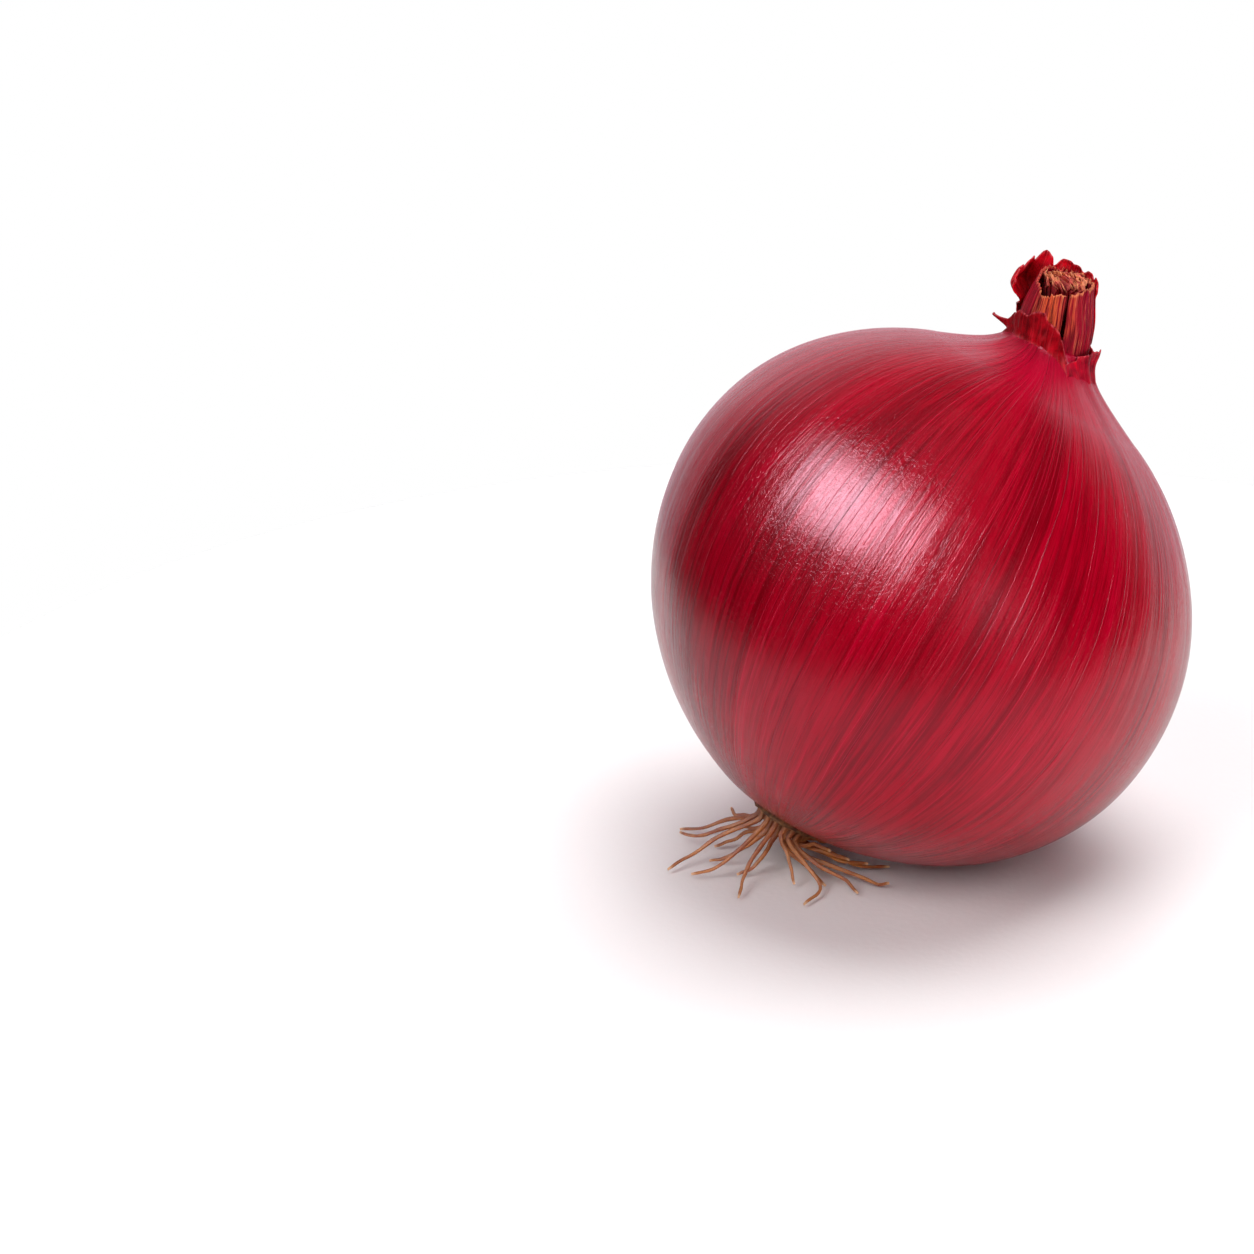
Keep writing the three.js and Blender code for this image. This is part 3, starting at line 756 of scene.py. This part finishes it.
def ridge_relief(ridges, angle, radius, slope):
    """What the ridges near one place add to the skin there."""
    total = 0.0
    count = len(ridges)
    nearest = round(angle / FULL_TURN * count)
    span = 4
    for ridge in (ridges[index % count] for index in range(nearest - span, nearest + span + 1)):
        middle = ridge["angle"] + ridge["drift"] * math.sin(2 * slope)
        across = (angle - middle + math.pi) % FULL_TURN - math.pi
        reach = across * radius / (ridge["width"] * (0.35 + 0.65 * min(radius / 0.03, 1)))
        if abs(reach) < 2.5:
            fade = smoothstep(ridge["top"], ridge["top"] + 0.2, slope)
            fade *= 1 - smoothstep(ridge["foot"] - 0.5, ridge["foot"], slope)
            total += ridge["height"] * math.exp(-reach * reach) * fade
    return total


class ONION_OT_bulb(bpy.types.Operator):
    """Adds the bulb: one leaning, glossy, ribbed body that flares into the neck"""
    bl_idname = "onion.add_bulb"
    bl_label = "Bulb"

    def execute(self, context):
        bulb = context.scene.onion_bulb
        piece = grow_shell("onion_bulb", bulb.sides, bulb_profile(), levels=1)
        ridges = seeded_ridges(96, 4)
        grain, girth, turns, slopes = [], [], [], []
        for vertex in piece.data.vertices:
            angle = math.atan2(vertex.co.y, vertex.co.x)
            radius = math.hypot(vertex.co.x, vertex.co.y)
            height = vertex.co.z
            slope = math.atan2(radius, height)
            grain.append(around(angle, slope))
            girth.append(max(radius / bulb.equator_radius, LEAST_GIRTH))
            turns.append(angle / FULL_TURN + 0.5)
            slopes.append(slope / math.pi)
            spot = Vector((math.cos(angle) * radius, math.sin(angle) * radius, height))
            dents = DENT_HEIGHT * crumple(spot, 0.012, 1) * smoothstep(0.002, 0.02, radius)
            relief = skin_relief(angle, radius, height) + dents
            relief += ridge_relief(ridges, angle, radius, slope) * smoothstep(0.003, 0.008, radius)
            vertex.co = place(angle, radius + relief, height)
            vertex.co.z = max(vertex.co.z, 0.0)
        write_vectors(piece, "skin_grain", grain)
        write_values(piece, "skin_girth", girth)
        write_wrap(piece, "skin_wrap", turns, slopes)
        piece.data.shade_smooth()
        finish_piece(piece, ["bulb"], bulb_finish())
        return {"FINISHED"}


# Torn edge of each collar piece and how far it stands off the neck there, as (degrees, millimetres)
COLLARS = {
    "collar_left": {
        "edge": [(117, 41.6), (130, 41.0), (137, 41.0), (143, 40.2), (149, 41.0), (155, 42.3), (166, 43.8),
                 (182, 45.0), (196, 45.2), (214, 46.5), (224, 46.7), (229, 45.8), (239, 45.0), (246, 44.5),
                 (252, 43.1), (257, 41.4), (260.5, 39.2)],
        "stand_off": [(117, 0.3), (138, 0.6), (143, 3.6), (147, 1.0), (156, 0.6), (182, 0.35), (224, 0.3),
                      (260.5, 0.2)],
        "columns": 100,
        "seed": 2,
    },
    "collar_right": {
        "edge": [(259.5, 38.7), (267, 39.5), (278, 40.1), (284, 40.9), (296, 41.6), (308, 41.5), (324, 41.6),
                 (331, 42.1), (337, 41.0), (345, 40.6), (372, 41.4), (400, 42.2), (440, 41), (467, 41.8)],
        "stand_off": [(259.5, 0.15), (318, 0.2), (331, 0.55), (338, 0.3), (345, 0.3), (467, 0.3)],
        "columns": 130,
        "seed": 5,
    },
}


class ONION_OT_collars(bpy.types.Operator):
    """Adds the torn collar of dry skin that still stands round the neck, in two pieces"""
    bl_idname = "onion.add_collars"
    bl_label = "Collar"

    def execute(self, context):
        neck = context.scene.onion_neck
        materials = {
            "collar_left": dry_skin_finish("collar_skin", neck.collar_colour, COLLAR_FOOT_RED, 1.0),
            "collar_right": dry_skin_finish("collar_skin_fresh", RIGHT_COLLAR_RED, COLLAR_FOOT_RED, 4.0),
        }
        for name, collar in COLLARS.items():

            def surface(across, up, collar=collar):
                angle = mix(collar["edge"][0][0], collar["edge"][-1][0], across) * DEGREE
                spot = around(angle)
                tear = 0.0003 * crumple(spot, 0.16, collar["seed"]) + 0.00014 * crumple(spot, 0.05, 3)
                edge = between(collar["edge"], angle) + tear
                foot = COLLAR_FOOT + 0.0007 * crumple(spot, 0.3, collar["seed"] + 4)
                height = mix(foot, edge, up)
                low_height = min(height, NECK_HEIGHT)
                radius = flare_radius(low_height)
                pleat_fade = 1 - smoothstep(NECK_HEIGHT, NECK_HEIGHT + 0.0014, height)
                relief = skin_relief(angle, radius, low_height) * pleat_fade
                stand = between(collar["stand_off"], angle) * smoothstep(NECK_HEIGHT - 0.002, edge, height)
                lift = mix(-0.0006, 0.0003, smoothstep(0.0, 0.5, up))
                fold = 0.00018 * crumple(around(angle, up * 0.25), 0.17, 7) * (0.3 + up)
                return angle, radius + relief + stand + lift + fold, height

            piece = bend_sheet(f"onion_{name}", collar["columns"], 14, surface, neck.skin_thickness)
            finish_piece(piece, [name], materials[name])
        return {"FINISHED"}


# Top of the dry leaf bases round the neck, as (degrees, millimetres)
LEAF_EDGE = [
    (70, 50.4), (110, 50.5), (150, 50.5), (173, 49.5), (192, 49), (206, 48.3), (217, 48.6), (224, 49.2),
    (236, 49.2), (250, 49.4), (265, 49.7), (276, 50.1), (289, 50.5), (330, 50.5), (430, 50.4),
]
LEAVES = {
    "neck_leaf_left": {"from": 74, "to": 191, "columns": 64, "pleats": 0.35, "slot": "dry_leaf_red"},
    "neck_leaf_front": {"from": 192.5, "to": 247, "columns": 44, "pleats": 1, "slot": "dry_leaf_brown"},
    "neck_leaf_right": {"from": 254.5, "to": 428, "columns": 120, "pleats": 1, "slot": "dry_leaf_brown"},
}


def pleat_grooves(count, seed):
    """Uneven grooves between the pleats of the dry leaves: the angle, depth and half-width of each."""
    random.seed(seed)
    grooves = []
    for index in range(count):
        angle = (index + random.uniform(-0.28, 0.28)) / count * FULL_TURN
        grooves.append((angle, random.uniform(0.00014, 0.00034), random.uniform(0.00012, 0.00022)))
    return grooves


def groove_depth(grooves, angle, radius):
    total = 0.0
    for middle, depth, width in grooves:
        across = ((angle - middle + math.pi) % FULL_TURN - math.pi) * radius / width
        if abs(across) < 3:
            total = max(total, depth * math.exp(-across * across))
    return total


class ONION_OT_neck_leaves(bpy.types.Operator):
    """Adds the ring of dry pleated leaf bases, cut across the top and split at the front"""
    bl_idname = "onion.add_neck_leaves"
    bl_label = "Neck leaves"

    def execute(self, context):
        neck = context.scene.onion_neck
        grooves = pleat_grooves(27, 11)
        brown = leaf_finish("brown_leaf", neck.leaf_colour, BROWN_LEAF_FOOT, BROWN_LEAF_FAR_RED_AND_SHADE, 0.5, 2.0)
        red = leaf_finish("red_leaf", neck.red_leaf_colour, RED_LEAF_FOOT, RED_LEAF_FAR_SHADE, 0.2, 5.0)
        for name, leaf in LEAVES.items():

            def surface(across, up, leaf=leaf):
                angle = mix(leaf["from"], leaf["to"], across) * DEGREE
                spot = around(angle)
                groove = groove_depth(grooves, angle, LEAF_TOP_RADIUS)
                tear = 0.00045 * crumple(spot, 0.16, 2) + 0.00022 * crumple(spot, 0.06, 6) - 1.6 * groove
                top = between(LEAF_EDGE, angle) + tear
                height = mix(LEAF_FOOT, top, up)
                lip = 0.0001 * smoothstep(0.85, 1.0, up) * crumple(spot, 0.12, 12)
                wave = 0.00012 * crumple(around(angle, up), 0.3, 9)
                radius = leaf_radius(angle, height) - leaf["pleats"] * groove + lip + wave
                return angle, radius, height

            piece = bend_sheet(f"onion_{name}", leaf["columns"], 18, surface, neck.leaf_thickness)
            finish_piece(piece, [name], red if name == "neck_leaf_left" else brown)
        return {"FINISHED"}


# Shrivelled flakes inside the neck: heading in degrees, then in millimetres the offset to one side,
# the shift along, the length, the top and the lean
OUTER_FLAKES = [
    (292, 2.9, -0.2, 2.2, 50.5, -0.5), (283, 2.4, -0.3, 3.8, 50.2, -0.7), (276, 1.9, -0.4, 4.6, 50.6, -0.5),
    (270, 1.45, -0.5, 4.8, 50.1, 0.5), (274, -1.5, -1.2, 3.6, 50.2, -0.5), (283, -1.85, -1.2, 3.0, 49.9, 0.4),
    (266, -2.25, -1.3, 2.6, 50.1, -0.4), (258, -2.7, -1.3, 2.0, 49.8, 0.3),
    (300, 1.7, 0, 3.4, 50.5, 0.6), (250, 2.2, 0, 3.0, 50.4, -0.5),
]
MIDDLE_FLAKES = [
    (281, 1.0, -0.5, 4.6, 50.6, -0.6), (272, 0.6, -0.5, 4.8, 50.1, 0.5), (287, 0.25, -0.5, 4.4, 50.7, -0.5),
    (268, -0.15, -0.6, 4.4, 50, -0.5), (278, -0.55, -0.8, 4, 50.4, 0.5), (292, -0.95, -0.9, 3.6, 49.9, -0.5),
    (255, 0.5, -0.4, 3.6, 50.5, 0.6), (297, -0.35, -0.9, 4.0, 50.4, 0.6), (262, -1.2, -0.9, 3.4, 50.3, -0.6),
]
FLAKE_FOOT = LEAF_FOOT + 0.004
FLAKE_REACH = 0.0036


def add_flakes(name, flakes, seed):
    """One piece made of torn upright flakes that stand side by side and lean over at the top."""
    thickness = bpy.context.scene.onion_neck.flake_thickness
    parts = []
    for index, (heading, offset, ahead, length, top, lean) in enumerate(flakes):
        along = Vector((math.cos(heading * DEGREE), math.sin(heading * DEGREE)))
        aside = Vector((-along.y, along.x))
        shift = seed + index

        def surface(across, up):
            rough = Vector((across * length, up * 2, shift * 3.1))
            ripple = 0.22 * crumple(rough, 0.8, shift) + 0.1 * crumple(rough, 0.25, shift + 2)
            over = 2 * lean * smoothstep(0.75, 1.0, up) ** 1.5
            back = -0.4 * smoothstep(0.3, 1.0, abs(2 * across - 1))
            spot = along * ((across - 0.5) * length + ahead) + aside * (offset + ripple + over)
            spot = spot * MM
            reach = min(spot.length, FLAKE_REACH)
            ragged = 0.35 * crumple(rough, 0.5, shift + 4) + 0.2 * crumple(rough, 0.15, shift + 6) + back
            height = mix(FLAKE_FOOT, (top + ragged) * MM, up)
            return math.atan2(spot.y, spot.x), reach, height

        parts.append(bend_sheet(f"{name}_{index}", 26, 12, surface, thickness))
    deselect_all()
    for part in parts:
        part.select_set(True)
    bpy.context.view_layer.objects.active = parts[0]
    bpy.ops.object.join()
    parts[0].name = name
    return parts[0]


class ONION_OT_inner_leaves(bpy.types.Operator):
    """Adds the shrivelled leaves inside the neck: torn flakes round the edge and across the middle"""
    bl_idname = "onion.add_inner_leaves"
    bl_label = "Inner leaves"

    def execute(self, context):
        material = inner_finish()
        curled = add_flakes("onion_inner_leaf_curled", OUTER_FLAKES, 1)
        finish_piece(curled, ["inner_leaf_curled"], material)
        crumpled = add_flakes("onion_inner_leaf_crumpled", MIDDLE_FLAKES, 31)
        finish_piece(crumpled, ["inner_leaf_crumpled"], material)
        return {"FINISHED"}


# Top of each scrap, as (degrees, millimetres)
TALL_SCRAP_TOP = [
    (92, 50.2), (97, 51.4), (103, 52.1), (110, 51.9), (117, 50.7), (123, 51.3), (130, 50.8), (137, 49.8),
    (145, 50.2), (152, 49.5), (159, 48.9), (166, 48.3),
]
LOW_SCRAP_TOP = [
    (-16, 49.6), (-8, 50.8), (2, 50.9), (9, 50.3), (17, 51), (27, 51), (35, 50.5), (44, 51.1), (56, 51.2),
    (64, 51.5), (78, 51.6), (94, 50.4),
]
TALL_SCRAP_FOOT = 0.0412
LOW_SCRAP_FOOT = LEAF_FOOT + 0.0012


class ONION_OT_skin_scraps(bpy.types.Operator):
    """Adds two scraps of red skin behind the neck: a low crumpled one, and a tall one that curls away"""
    bl_idname = "onion.add_skin_scraps"
    bl_label = "Skin scraps"

    def execute(self, context):
        neck = context.scene.onion_neck
        # The scraps' foot is painted dark red as shade between them and the neck
        material = dry_skin_finish("scrap_skin", SCRAP_RED, SCRAP_FOOT_SHADE_RED, 3.0)

        def low(across, up):
            angle = mix(LOW_SCRAP_TOP[0][0], LOW_SCRAP_TOP[-1][0], across) * DEGREE
            spot = around(angle, up * 0.8)
            height = mix(LOW_SCRAP_FOOT, between(LOW_SCRAP_TOP, angle), up)
            swell = smoothstep(0.8, 0.95, up) - 0.8 * smoothstep(0.95, 1.0, up)
            bead = 0.0003 * smoothstep(0.7, 0.9, up) * crumple(spot, 0.16, 4)
            radius = leaf_radius(angle, height) + 0.0003 + 0.0005 * swell + bead
            return angle, radius, height

        def tall(across, up):
            start, end = TALL_SCRAP_TOP[0][0], TALL_SCRAP_TOP[-1][0]
            reach = mix(0.45, 1.0, smoothstep(0.2, 0.8, up))
            angle = mix(start, start + (end - start) * reach, across) * DEGREE
            spot = around(angle, up)
            height = mix(TALL_SCRAP_FOOT, between(TALL_SCRAP_TOP, mix(start, end, across) * DEGREE), up)
            height += 0.0005 * up * crumple(spot, 0.1, 5)
            belly = 0.002 * smoothstep(0.045, 0.0476, height)
            belly += 0.001 * smoothstep(0.0406, 0.0422, height) * (1 - smoothstep(0.0432, 0.045, height))
            fold = 0.0006 * smoothstep(0.3, 0.8, up) * crumple(spot, 0.45, 8)
            fold += 0.0003 * crumple(spot, 0.14, 2) * smoothstep(0.3, 1.0, up)
            away = smoothstep(94 * DEGREE, 122 * DEGREE, angle)
            radius = mix(0.0049, leaf_radius(angle, height) + 0.0006 + belly + fold, away)
            return angle, radius, height

        low_scrap = bend_sheet("onion_skin_scrap_low", 80, 16, low, neck.skin_thickness)
        finish_piece(low_scrap, ["skin_scrap_low"], material)
        tall_scrap = bend_sheet("onion_skin_scrap_tall", 56, 34, tall, neck.skin_thickness)
        finish_piece(tall_scrap, ["skin_scrap_tall"], material)
        return {"FINISHED"}


def plate_face(radius):
    return PLATE_TOP - PLATE_THICKNESS * (1 - 0.55 * (radius / PLATE_RADIUS) ** 2)


class ONION_OT_root_plate(bpy.types.Operator):
    """Adds the corky plate that the leaves and roots grow from"""
    bl_idname = "onion.add_root_plate"
    bl_label = "Root plate"

    def execute(self, context):
        rings = 12
        profile = [(PLATE_RADIUS * 0.5, PLATE_TOP), (PLATE_RADIUS * 0.95, PLATE_TOP)]
        for ring in range(rings, 0, -1):
            radius = PLATE_RADIUS * ring / rings
            profile.append((radius, plate_face(radius)))
        piece = grow_shell("onion_root_plate", 56, profile, levels=1)
        for vertex in piece.data.vertices:
            angle = math.atan2(vertex.co.y, vertex.co.x)
            radius = math.hypot(vertex.co.x, vertex.co.y)
            spot = vertex.co.copy()
            lump = 0.00022 * crumple(spot, 0.0011, 2) + 0.00012 * crumple(spot, 0.0005, 4)
            below = smoothstep(PLATE_TOP, PLATE_TOP - 0.0004, vertex.co.z)
            vertex.co = place(angle, radius * (1 + 0.03 * math.sin(5 * angle)), vertex.co.z + lump * below)
        piece.data.shade_smooth()
        finish_piece(piece, ["root_plate"], plate_finish())
        return {"FINISHED"}


# Roots that show at the front: turn round the plate in degrees, row, and the points passed, in millimetres
FRONT_ROOTS = [
    (300, OUTER_ROW, [(-18.2, -12.2, 4.7), (-16.2, -14.2, 4.5)]),
    (317, OUTER_ROW, [(-17.2, -12.4, 3.7), (-13.4, -14.2, 3.2)]),
    (335, OUTER_ROW, [(-16.4, -11.4, 2.7), (-13.6, -13, 2.2), (-10.6, -13.3, 2.2)]),
    (354, OUTER_ROW, [(-16.2, -8.8, 2), (-12.5, -11.8, 1.3), (-7.4, -11.6, 0.75)]),
    (318, INNER_ROW, [(-16.4, -13.4, 1.9), (-13.2, -15.3, 1.7), (-9.8, -17.1, 0.75), (-7.8, -17.2, 0.95)]),
    (282, OUTER_ROW, [(-18.4, -15, 3.2), (-14.3, -17.3, 1.5), (-12.5, -20, 0.7)]),
    (265, OUTER_ROW, [(-20, -15.4, 3.4), (-17.8, -19.1, 1.2), (-20.3, -23.5, 0.7)]),
    (248, OUTER_ROW, [(-22.2, -14.6, 3.6), (-21.4, -17.3, 0.8)]),
    (280, INNER_ROW, [(-19.6, -13.2, 1.9), (-17, -17.6, 0.7)]),
]

# Roots on the far sides: turn and heading in degrees, then reach, tip height and sideways curl in millimetres
SIDE_ROOTS = [
    (15, OUTER_ROW, 15, 5, 0.7, 1), (42, OUTER_ROW, 36, 9, 0.9, 1.5), (75, OUTER_ROW, 92, 11, 0.8, 1.6),
    (102, OUTER_ROW, 122, 12, 1.2, -1.5), (128, OUTER_ROW, 146, 13, 0.7, 1.8),
    (154, OUTER_ROW, 168, 12, 1.5, -2.2), (180, OUTER_ROW, 188, 14, 0.8, 2.4),
    (204, OUTER_ROW, 212, 12, 1, -1.6), (226, OUTER_ROW, 236, 12, 0.7, 1.4),
    (55, INNER_ROW, 88, 7, 0.8, 1), (90, INNER_ROW, 118, 8, 0.8, 1.2), (140, INNER_ROW, 160, 8, 0.7, 1.2),
    (190, INNER_ROW, 198, 9, 0.7, -1.2), (235, INNER_ROW, 228, 8, 0.8, -1.2),
]


def root_start(turn, row):
    return place(turn * DEGREE, row, plate_face(row) - ROOT_SINK)


def side_root_points(turn, row, heading, reach, tip, curl):
    start = root_start(turn, row)
    forward = around(heading * DEGREE) * reach * MM
    sideways = Vector((-math.sin(heading * DEGREE), math.cos(heading * DEGREE), 0)) * curl * MM
    drop = start.z - tip * MM
    points = []
    for ahead, aside, height in ((0.45, -0.3, 0.45), (0.75, 0.1, 0.12), (1, 1, 0)):
        point = start + forward * ahead + sideways * aside
        point.z = tip * MM + drop * height
        points.append(point)
    return points


def smooth_path(points, steps):
    """Points close together on a smooth curve that passes through all the given ones."""
    path = []
    spans = len(points) - 1
    for step in range(steps + 1):
        place_along = step / steps * spans
        index = min(int(place_along), spans - 1)
        share = place_along - index
        start, end = points[index], points[index + 1]
        before = points[index - 1] if index > 0 else start - (end - start)
        after = points[index + 2] if index + 2 <= spans else end + (end - start)
        span = (end - start).length
        leave = (end - before).normalized() * span
        arrive = (after - start).normalized() * span
        path.append(bezier((start, start + leave / 3, end - arrive / 3, end), share))
    return path


def straight_root(steps):
    """One straight root of unit length and unit radius, as a closed tube of rings."""
    profile = [(1.0, ring / steps) for ring in range(steps + 1)]
    return grow_shell("onion_root_pattern", 12, profile)


def bend_root(piece, path, radius, seed):
    """Moves a straight root onto a path, thinner towards its tip and uneven as a dried one is."""
    steps = len(path) - 1
    normal = Vector((0, 0, 1))
    frames = []
    for index in range(steps + 1):
        forward = (path[min(index + 1, steps)] - path[max(index - 1, 0)]).normalized()
        normal = (normal - forward * normal.dot(forward)).normalized()
        frames.append((normal.copy(), forward.cross(normal)))
    grain, shares = [], []
    for vertex in piece.data.vertices:
        share = min(max(vertex.co.z, 0.0), 1.0)
        index = min(int(round(share * steps)), steps)
        up, side = frames[index]
        across, deep = vertex.co.x, vertex.co.y
        size = radius * (1.35 - 0.62 * smoothstep(0, 0.9, share))
        size = size * (1 - 0.25 * smoothstep(0.93, 1.0, share))
        shrunk = 1 + 0.22 * crumple(Vector((across * 0.5, deep * 0.5, share * 9)), 0.9, seed)
        offset = (up * across + side * deep) * size * shrunk
        wobble = up * crumple(Vector((share * 6, 0, 0)), 1, seed + 3)
        wobble += side * crumple(Vector((0, share * 6, 0)), 1, seed + 5)
        grain.append((across, deep, share * 0.02))
        shares.append(share)
        vertex.co = path[index] + offset + wobble * radius * 0.7 * smoothstep(0.1, 0.5, share)
        vertex.co.z = max(vertex.co.z, ROOT_CLEARANCE)
    write_vectors(piece, "root_grain", grain)
    write_values(piece, "root_share", shares)
    piece.data.shade_smooth()


class ONION_OT_roots(bpy.types.Operator):
    """Adds the tuft of dried roots, each one a copy of a straight root bent along its own path"""
    bl_idname = "onion.add_roots"
    bl_label = "Roots"

    def execute(self, context):
        steps = 26
        radius = context.scene.onion_roots.root_radius
        pattern = straight_root(steps)
        material = root_finish()
        outwards = (TO_PART.to_3x3() @ Vector((0, 0, -1))).normalized()
        routes = [(turn, row, [Vector(point) * MM for point in points]) for turn, row, points in FRONT_ROOTS]
        routes += [(root[0], root[1], side_root_points(*root)) for root in SIDE_ROOTS]
        for number, (turn, row, points) in enumerate(routes, 1):
            start = root_start(turn, row)
            leaving = INNER_LEAVING if row == INNER_ROW else OUTER_LEAVING
            path = smooth_path([start - outwards * ROOT_BURIED, start + outwards * leaving, *points], steps)
            root = pattern.copy()
            root.data = pattern.data.copy()
            root.name = f"onion_root_{number:02d}"
            context.collection.objects.link(root)
            bend_root(root, path, radius, number)
            finish_piece(root, [f"root_{number:02d}"], material)
        bpy.data.objects.remove(pattern)
        return {"FINISHED"}


def add_softbox(name, direction, size, radiance, glossy=True, diffuse=True):
    """A square soft light that faces the onion from a direction, as bright per area as asked."""
    distance = 4.0
    middle = Vector((-0.003, 0, 0.04))
    aim = Vector(direction).normalized()
    bpy.ops.object.light_add(type="AREA", location=middle + aim * distance)
    light = bpy.context.object
    light.name = name
    light.rotation_euler = aim.to_track_quat("Z", "Y").to_euler()
    light.data.shape = "RECTANGLE"
    light.data.size, light.data.size_y = size
    light.data.energy = radiance * math.pi * size[0] * size[1]
    light.visible_camera = False
    light.visible_glossy = glossy
    light.visible_diffuse = diffuse


def add_surroundings(strength):
    """A white room: the camera sees it plain white, and the onion mirrors only a low band of it behind."""
    world = bpy.data.worlds.new("white_room")
    bpy.context.scene.world = world
    world.use_nodes = True
    tree = world.node_tree
    tree.nodes.clear()
    nodes = Nodes(tree)
    direction = nodes.add("ShaderNodeTexCoord", {}, "Generated")
    behind = nodes.remap(nodes.towards(direction, (0, 1, 0)), 0.35, 0.8, 0, strength)
    low = nodes.remap(nodes.towards(direction, (0.45, 0, 1)), 0.4, 0.72, 1, 0)
    clear_of_left = nodes.remap(nodes.towards(direction, (1, 0, 0)), -0.75, -0.25, 0.04, 1)
    glow = nodes.times(nodes.times(behind, low), clear_of_left)
    mirrored = nodes.add("ShaderNodeBackground", {"Color": (1, 0.82, 0.92), "Strength": glow})
    seen = nodes.add("ShaderNodeBackground", {"Color": (1, 1, 1), "Strength": 1})
    camera_ray = nodes.add("ShaderNodeLightPath", {}, "Is Camera Ray")
    blend = nodes.add("ShaderNodeMixShader", {0: camera_ray, 1: mirrored, 2: seen})
    output = tree.nodes.new("ShaderNodeOutputWorld")
    tree.links.new(blend, output.inputs["Surface"])


class ONION_OT_stage(bpy.types.Operator):
    """Adds the pale floor, the soft lights and the camera"""
    bl_idname = "onion.add_stage"
    bl_label = "Stage"

    def execute(self, context):
        stage = context.scene.onion_stage
        deselect_all()
        bpy.ops.mesh.primitive_circle_add(vertices=96, radius=stage.floor_radius, fill_type="NGON")
        floor = context.object
        floor.name = "floor"
        floor.data.materials.append(floor_finish())
        add_softbox("key_gloss", (-0.46, -0.41, 0.785), (2.95, 2.2), stage.key_radiance, diffuse=False)
        add_softbox("key_light", (-0.6, -0.5, 0.62), (2.4, 2.4), stage.key_light, glossy=False)
        add_softbox("top_light", (0.2, 0.26, 0.94), (3.6, 3.6), stage.top_radiance, glossy=False)
        add_softbox("front_light", (0.42, -0.7, 0.58), (2.6, 2.6), stage.front_radiance, glossy=False)
        add_softbox("bounce_light", (0.5, -0.86, -0.08), (3.0, 1.4), stage.bounce_radiance, glossy=False)
        add_softbox("fill_gloss", (0.48, -0.83, 0.27), (1.7, 1.2), stage.fill_radiance, diffuse=False)
        add_surroundings(stage.surround)
        bpy.ops.object.camera_add(location=CAMERA_PLACE, rotation=(CAMERA_TILT, 0, 0))
        camera = context.object
        camera.name = "camera"
        camera.data.lens = stage.focal_length
        camera.data.sensor_width = SENSOR_WIDTH_MM
        camera.data.sensor_fit = "HORIZONTAL"
        camera.data.clip_start = 0.01
        context.scene.camera = camera
        context.scene.view_settings.view_transform = "Standard"
        return {"FINISHED"}


STEPS = (
    ONION_OT_stage,
    ONION_OT_bulb,
    ONION_OT_collars,
    ONION_OT_neck_leaves,
    ONION_OT_inner_leaves,
    ONION_OT_skin_scraps,
    ONION_OT_root_plate,
    ONION_OT_roots,
)


class ONION_PT_panel(bpy.types.Panel):
    """Lists the onion's sizes, colours and pieces"""
    bl_idname = "ONION_PT_panel"
    bl_label = "Red onion"
    bl_space_type = "VIEW_3D"
    bl_region_type = "UI"
    bl_category = "Onion"

    def draw(self, context):
        for group in ("onion_bulb", "onion_neck", "onion_roots", "onion_stage"):
            box = self.layout.box()
            settings = getattr(context.scene, group)
            for setting in settings.bl_rna.properties:
                if setting.identifier not in ("rna_type", "name"):
                    box.prop(settings, setting.identifier)
        for step in STEPS:
            self.layout.operator(step.bl_idname)


GROUPS = {
    "onion_bulb": BulbSettings,
    "onion_neck": NeckSettings,
    "onion_roots": RootSettings,
    "onion_stage": StageSettings,
}


def register():
    for name, group in GROUPS.items():
        bpy.utils.register_class(group)
        setattr(bpy.types.Scene, name, PointerProperty(type=group))
    for kind in (*STEPS, ONION_PT_panel):
        bpy.utils.register_class(kind)


def unregister():
    for kind in reversed((*STEPS, ONION_PT_panel)):
        bpy.utils.unregister_class(kind)
    for name, group in reversed(GROUPS.items()):
        delattr(bpy.types.Scene, name)
        bpy.utils.unregister_class(group)


def main():
    register()
    bpy.ops.onion.add_stage()
    bpy.ops.onion.add_bulb()
    bpy.ops.onion.add_collars()
    bpy.ops.onion.add_neck_leaves()
    bpy.ops.onion.add_inner_leaves()
    bpy.ops.onion.add_skin_scraps()
    bpy.ops.onion.add_root_plate()
    bpy.ops.onion.add_roots()
    deselect_all()


if __name__ == "__main__":
    main()
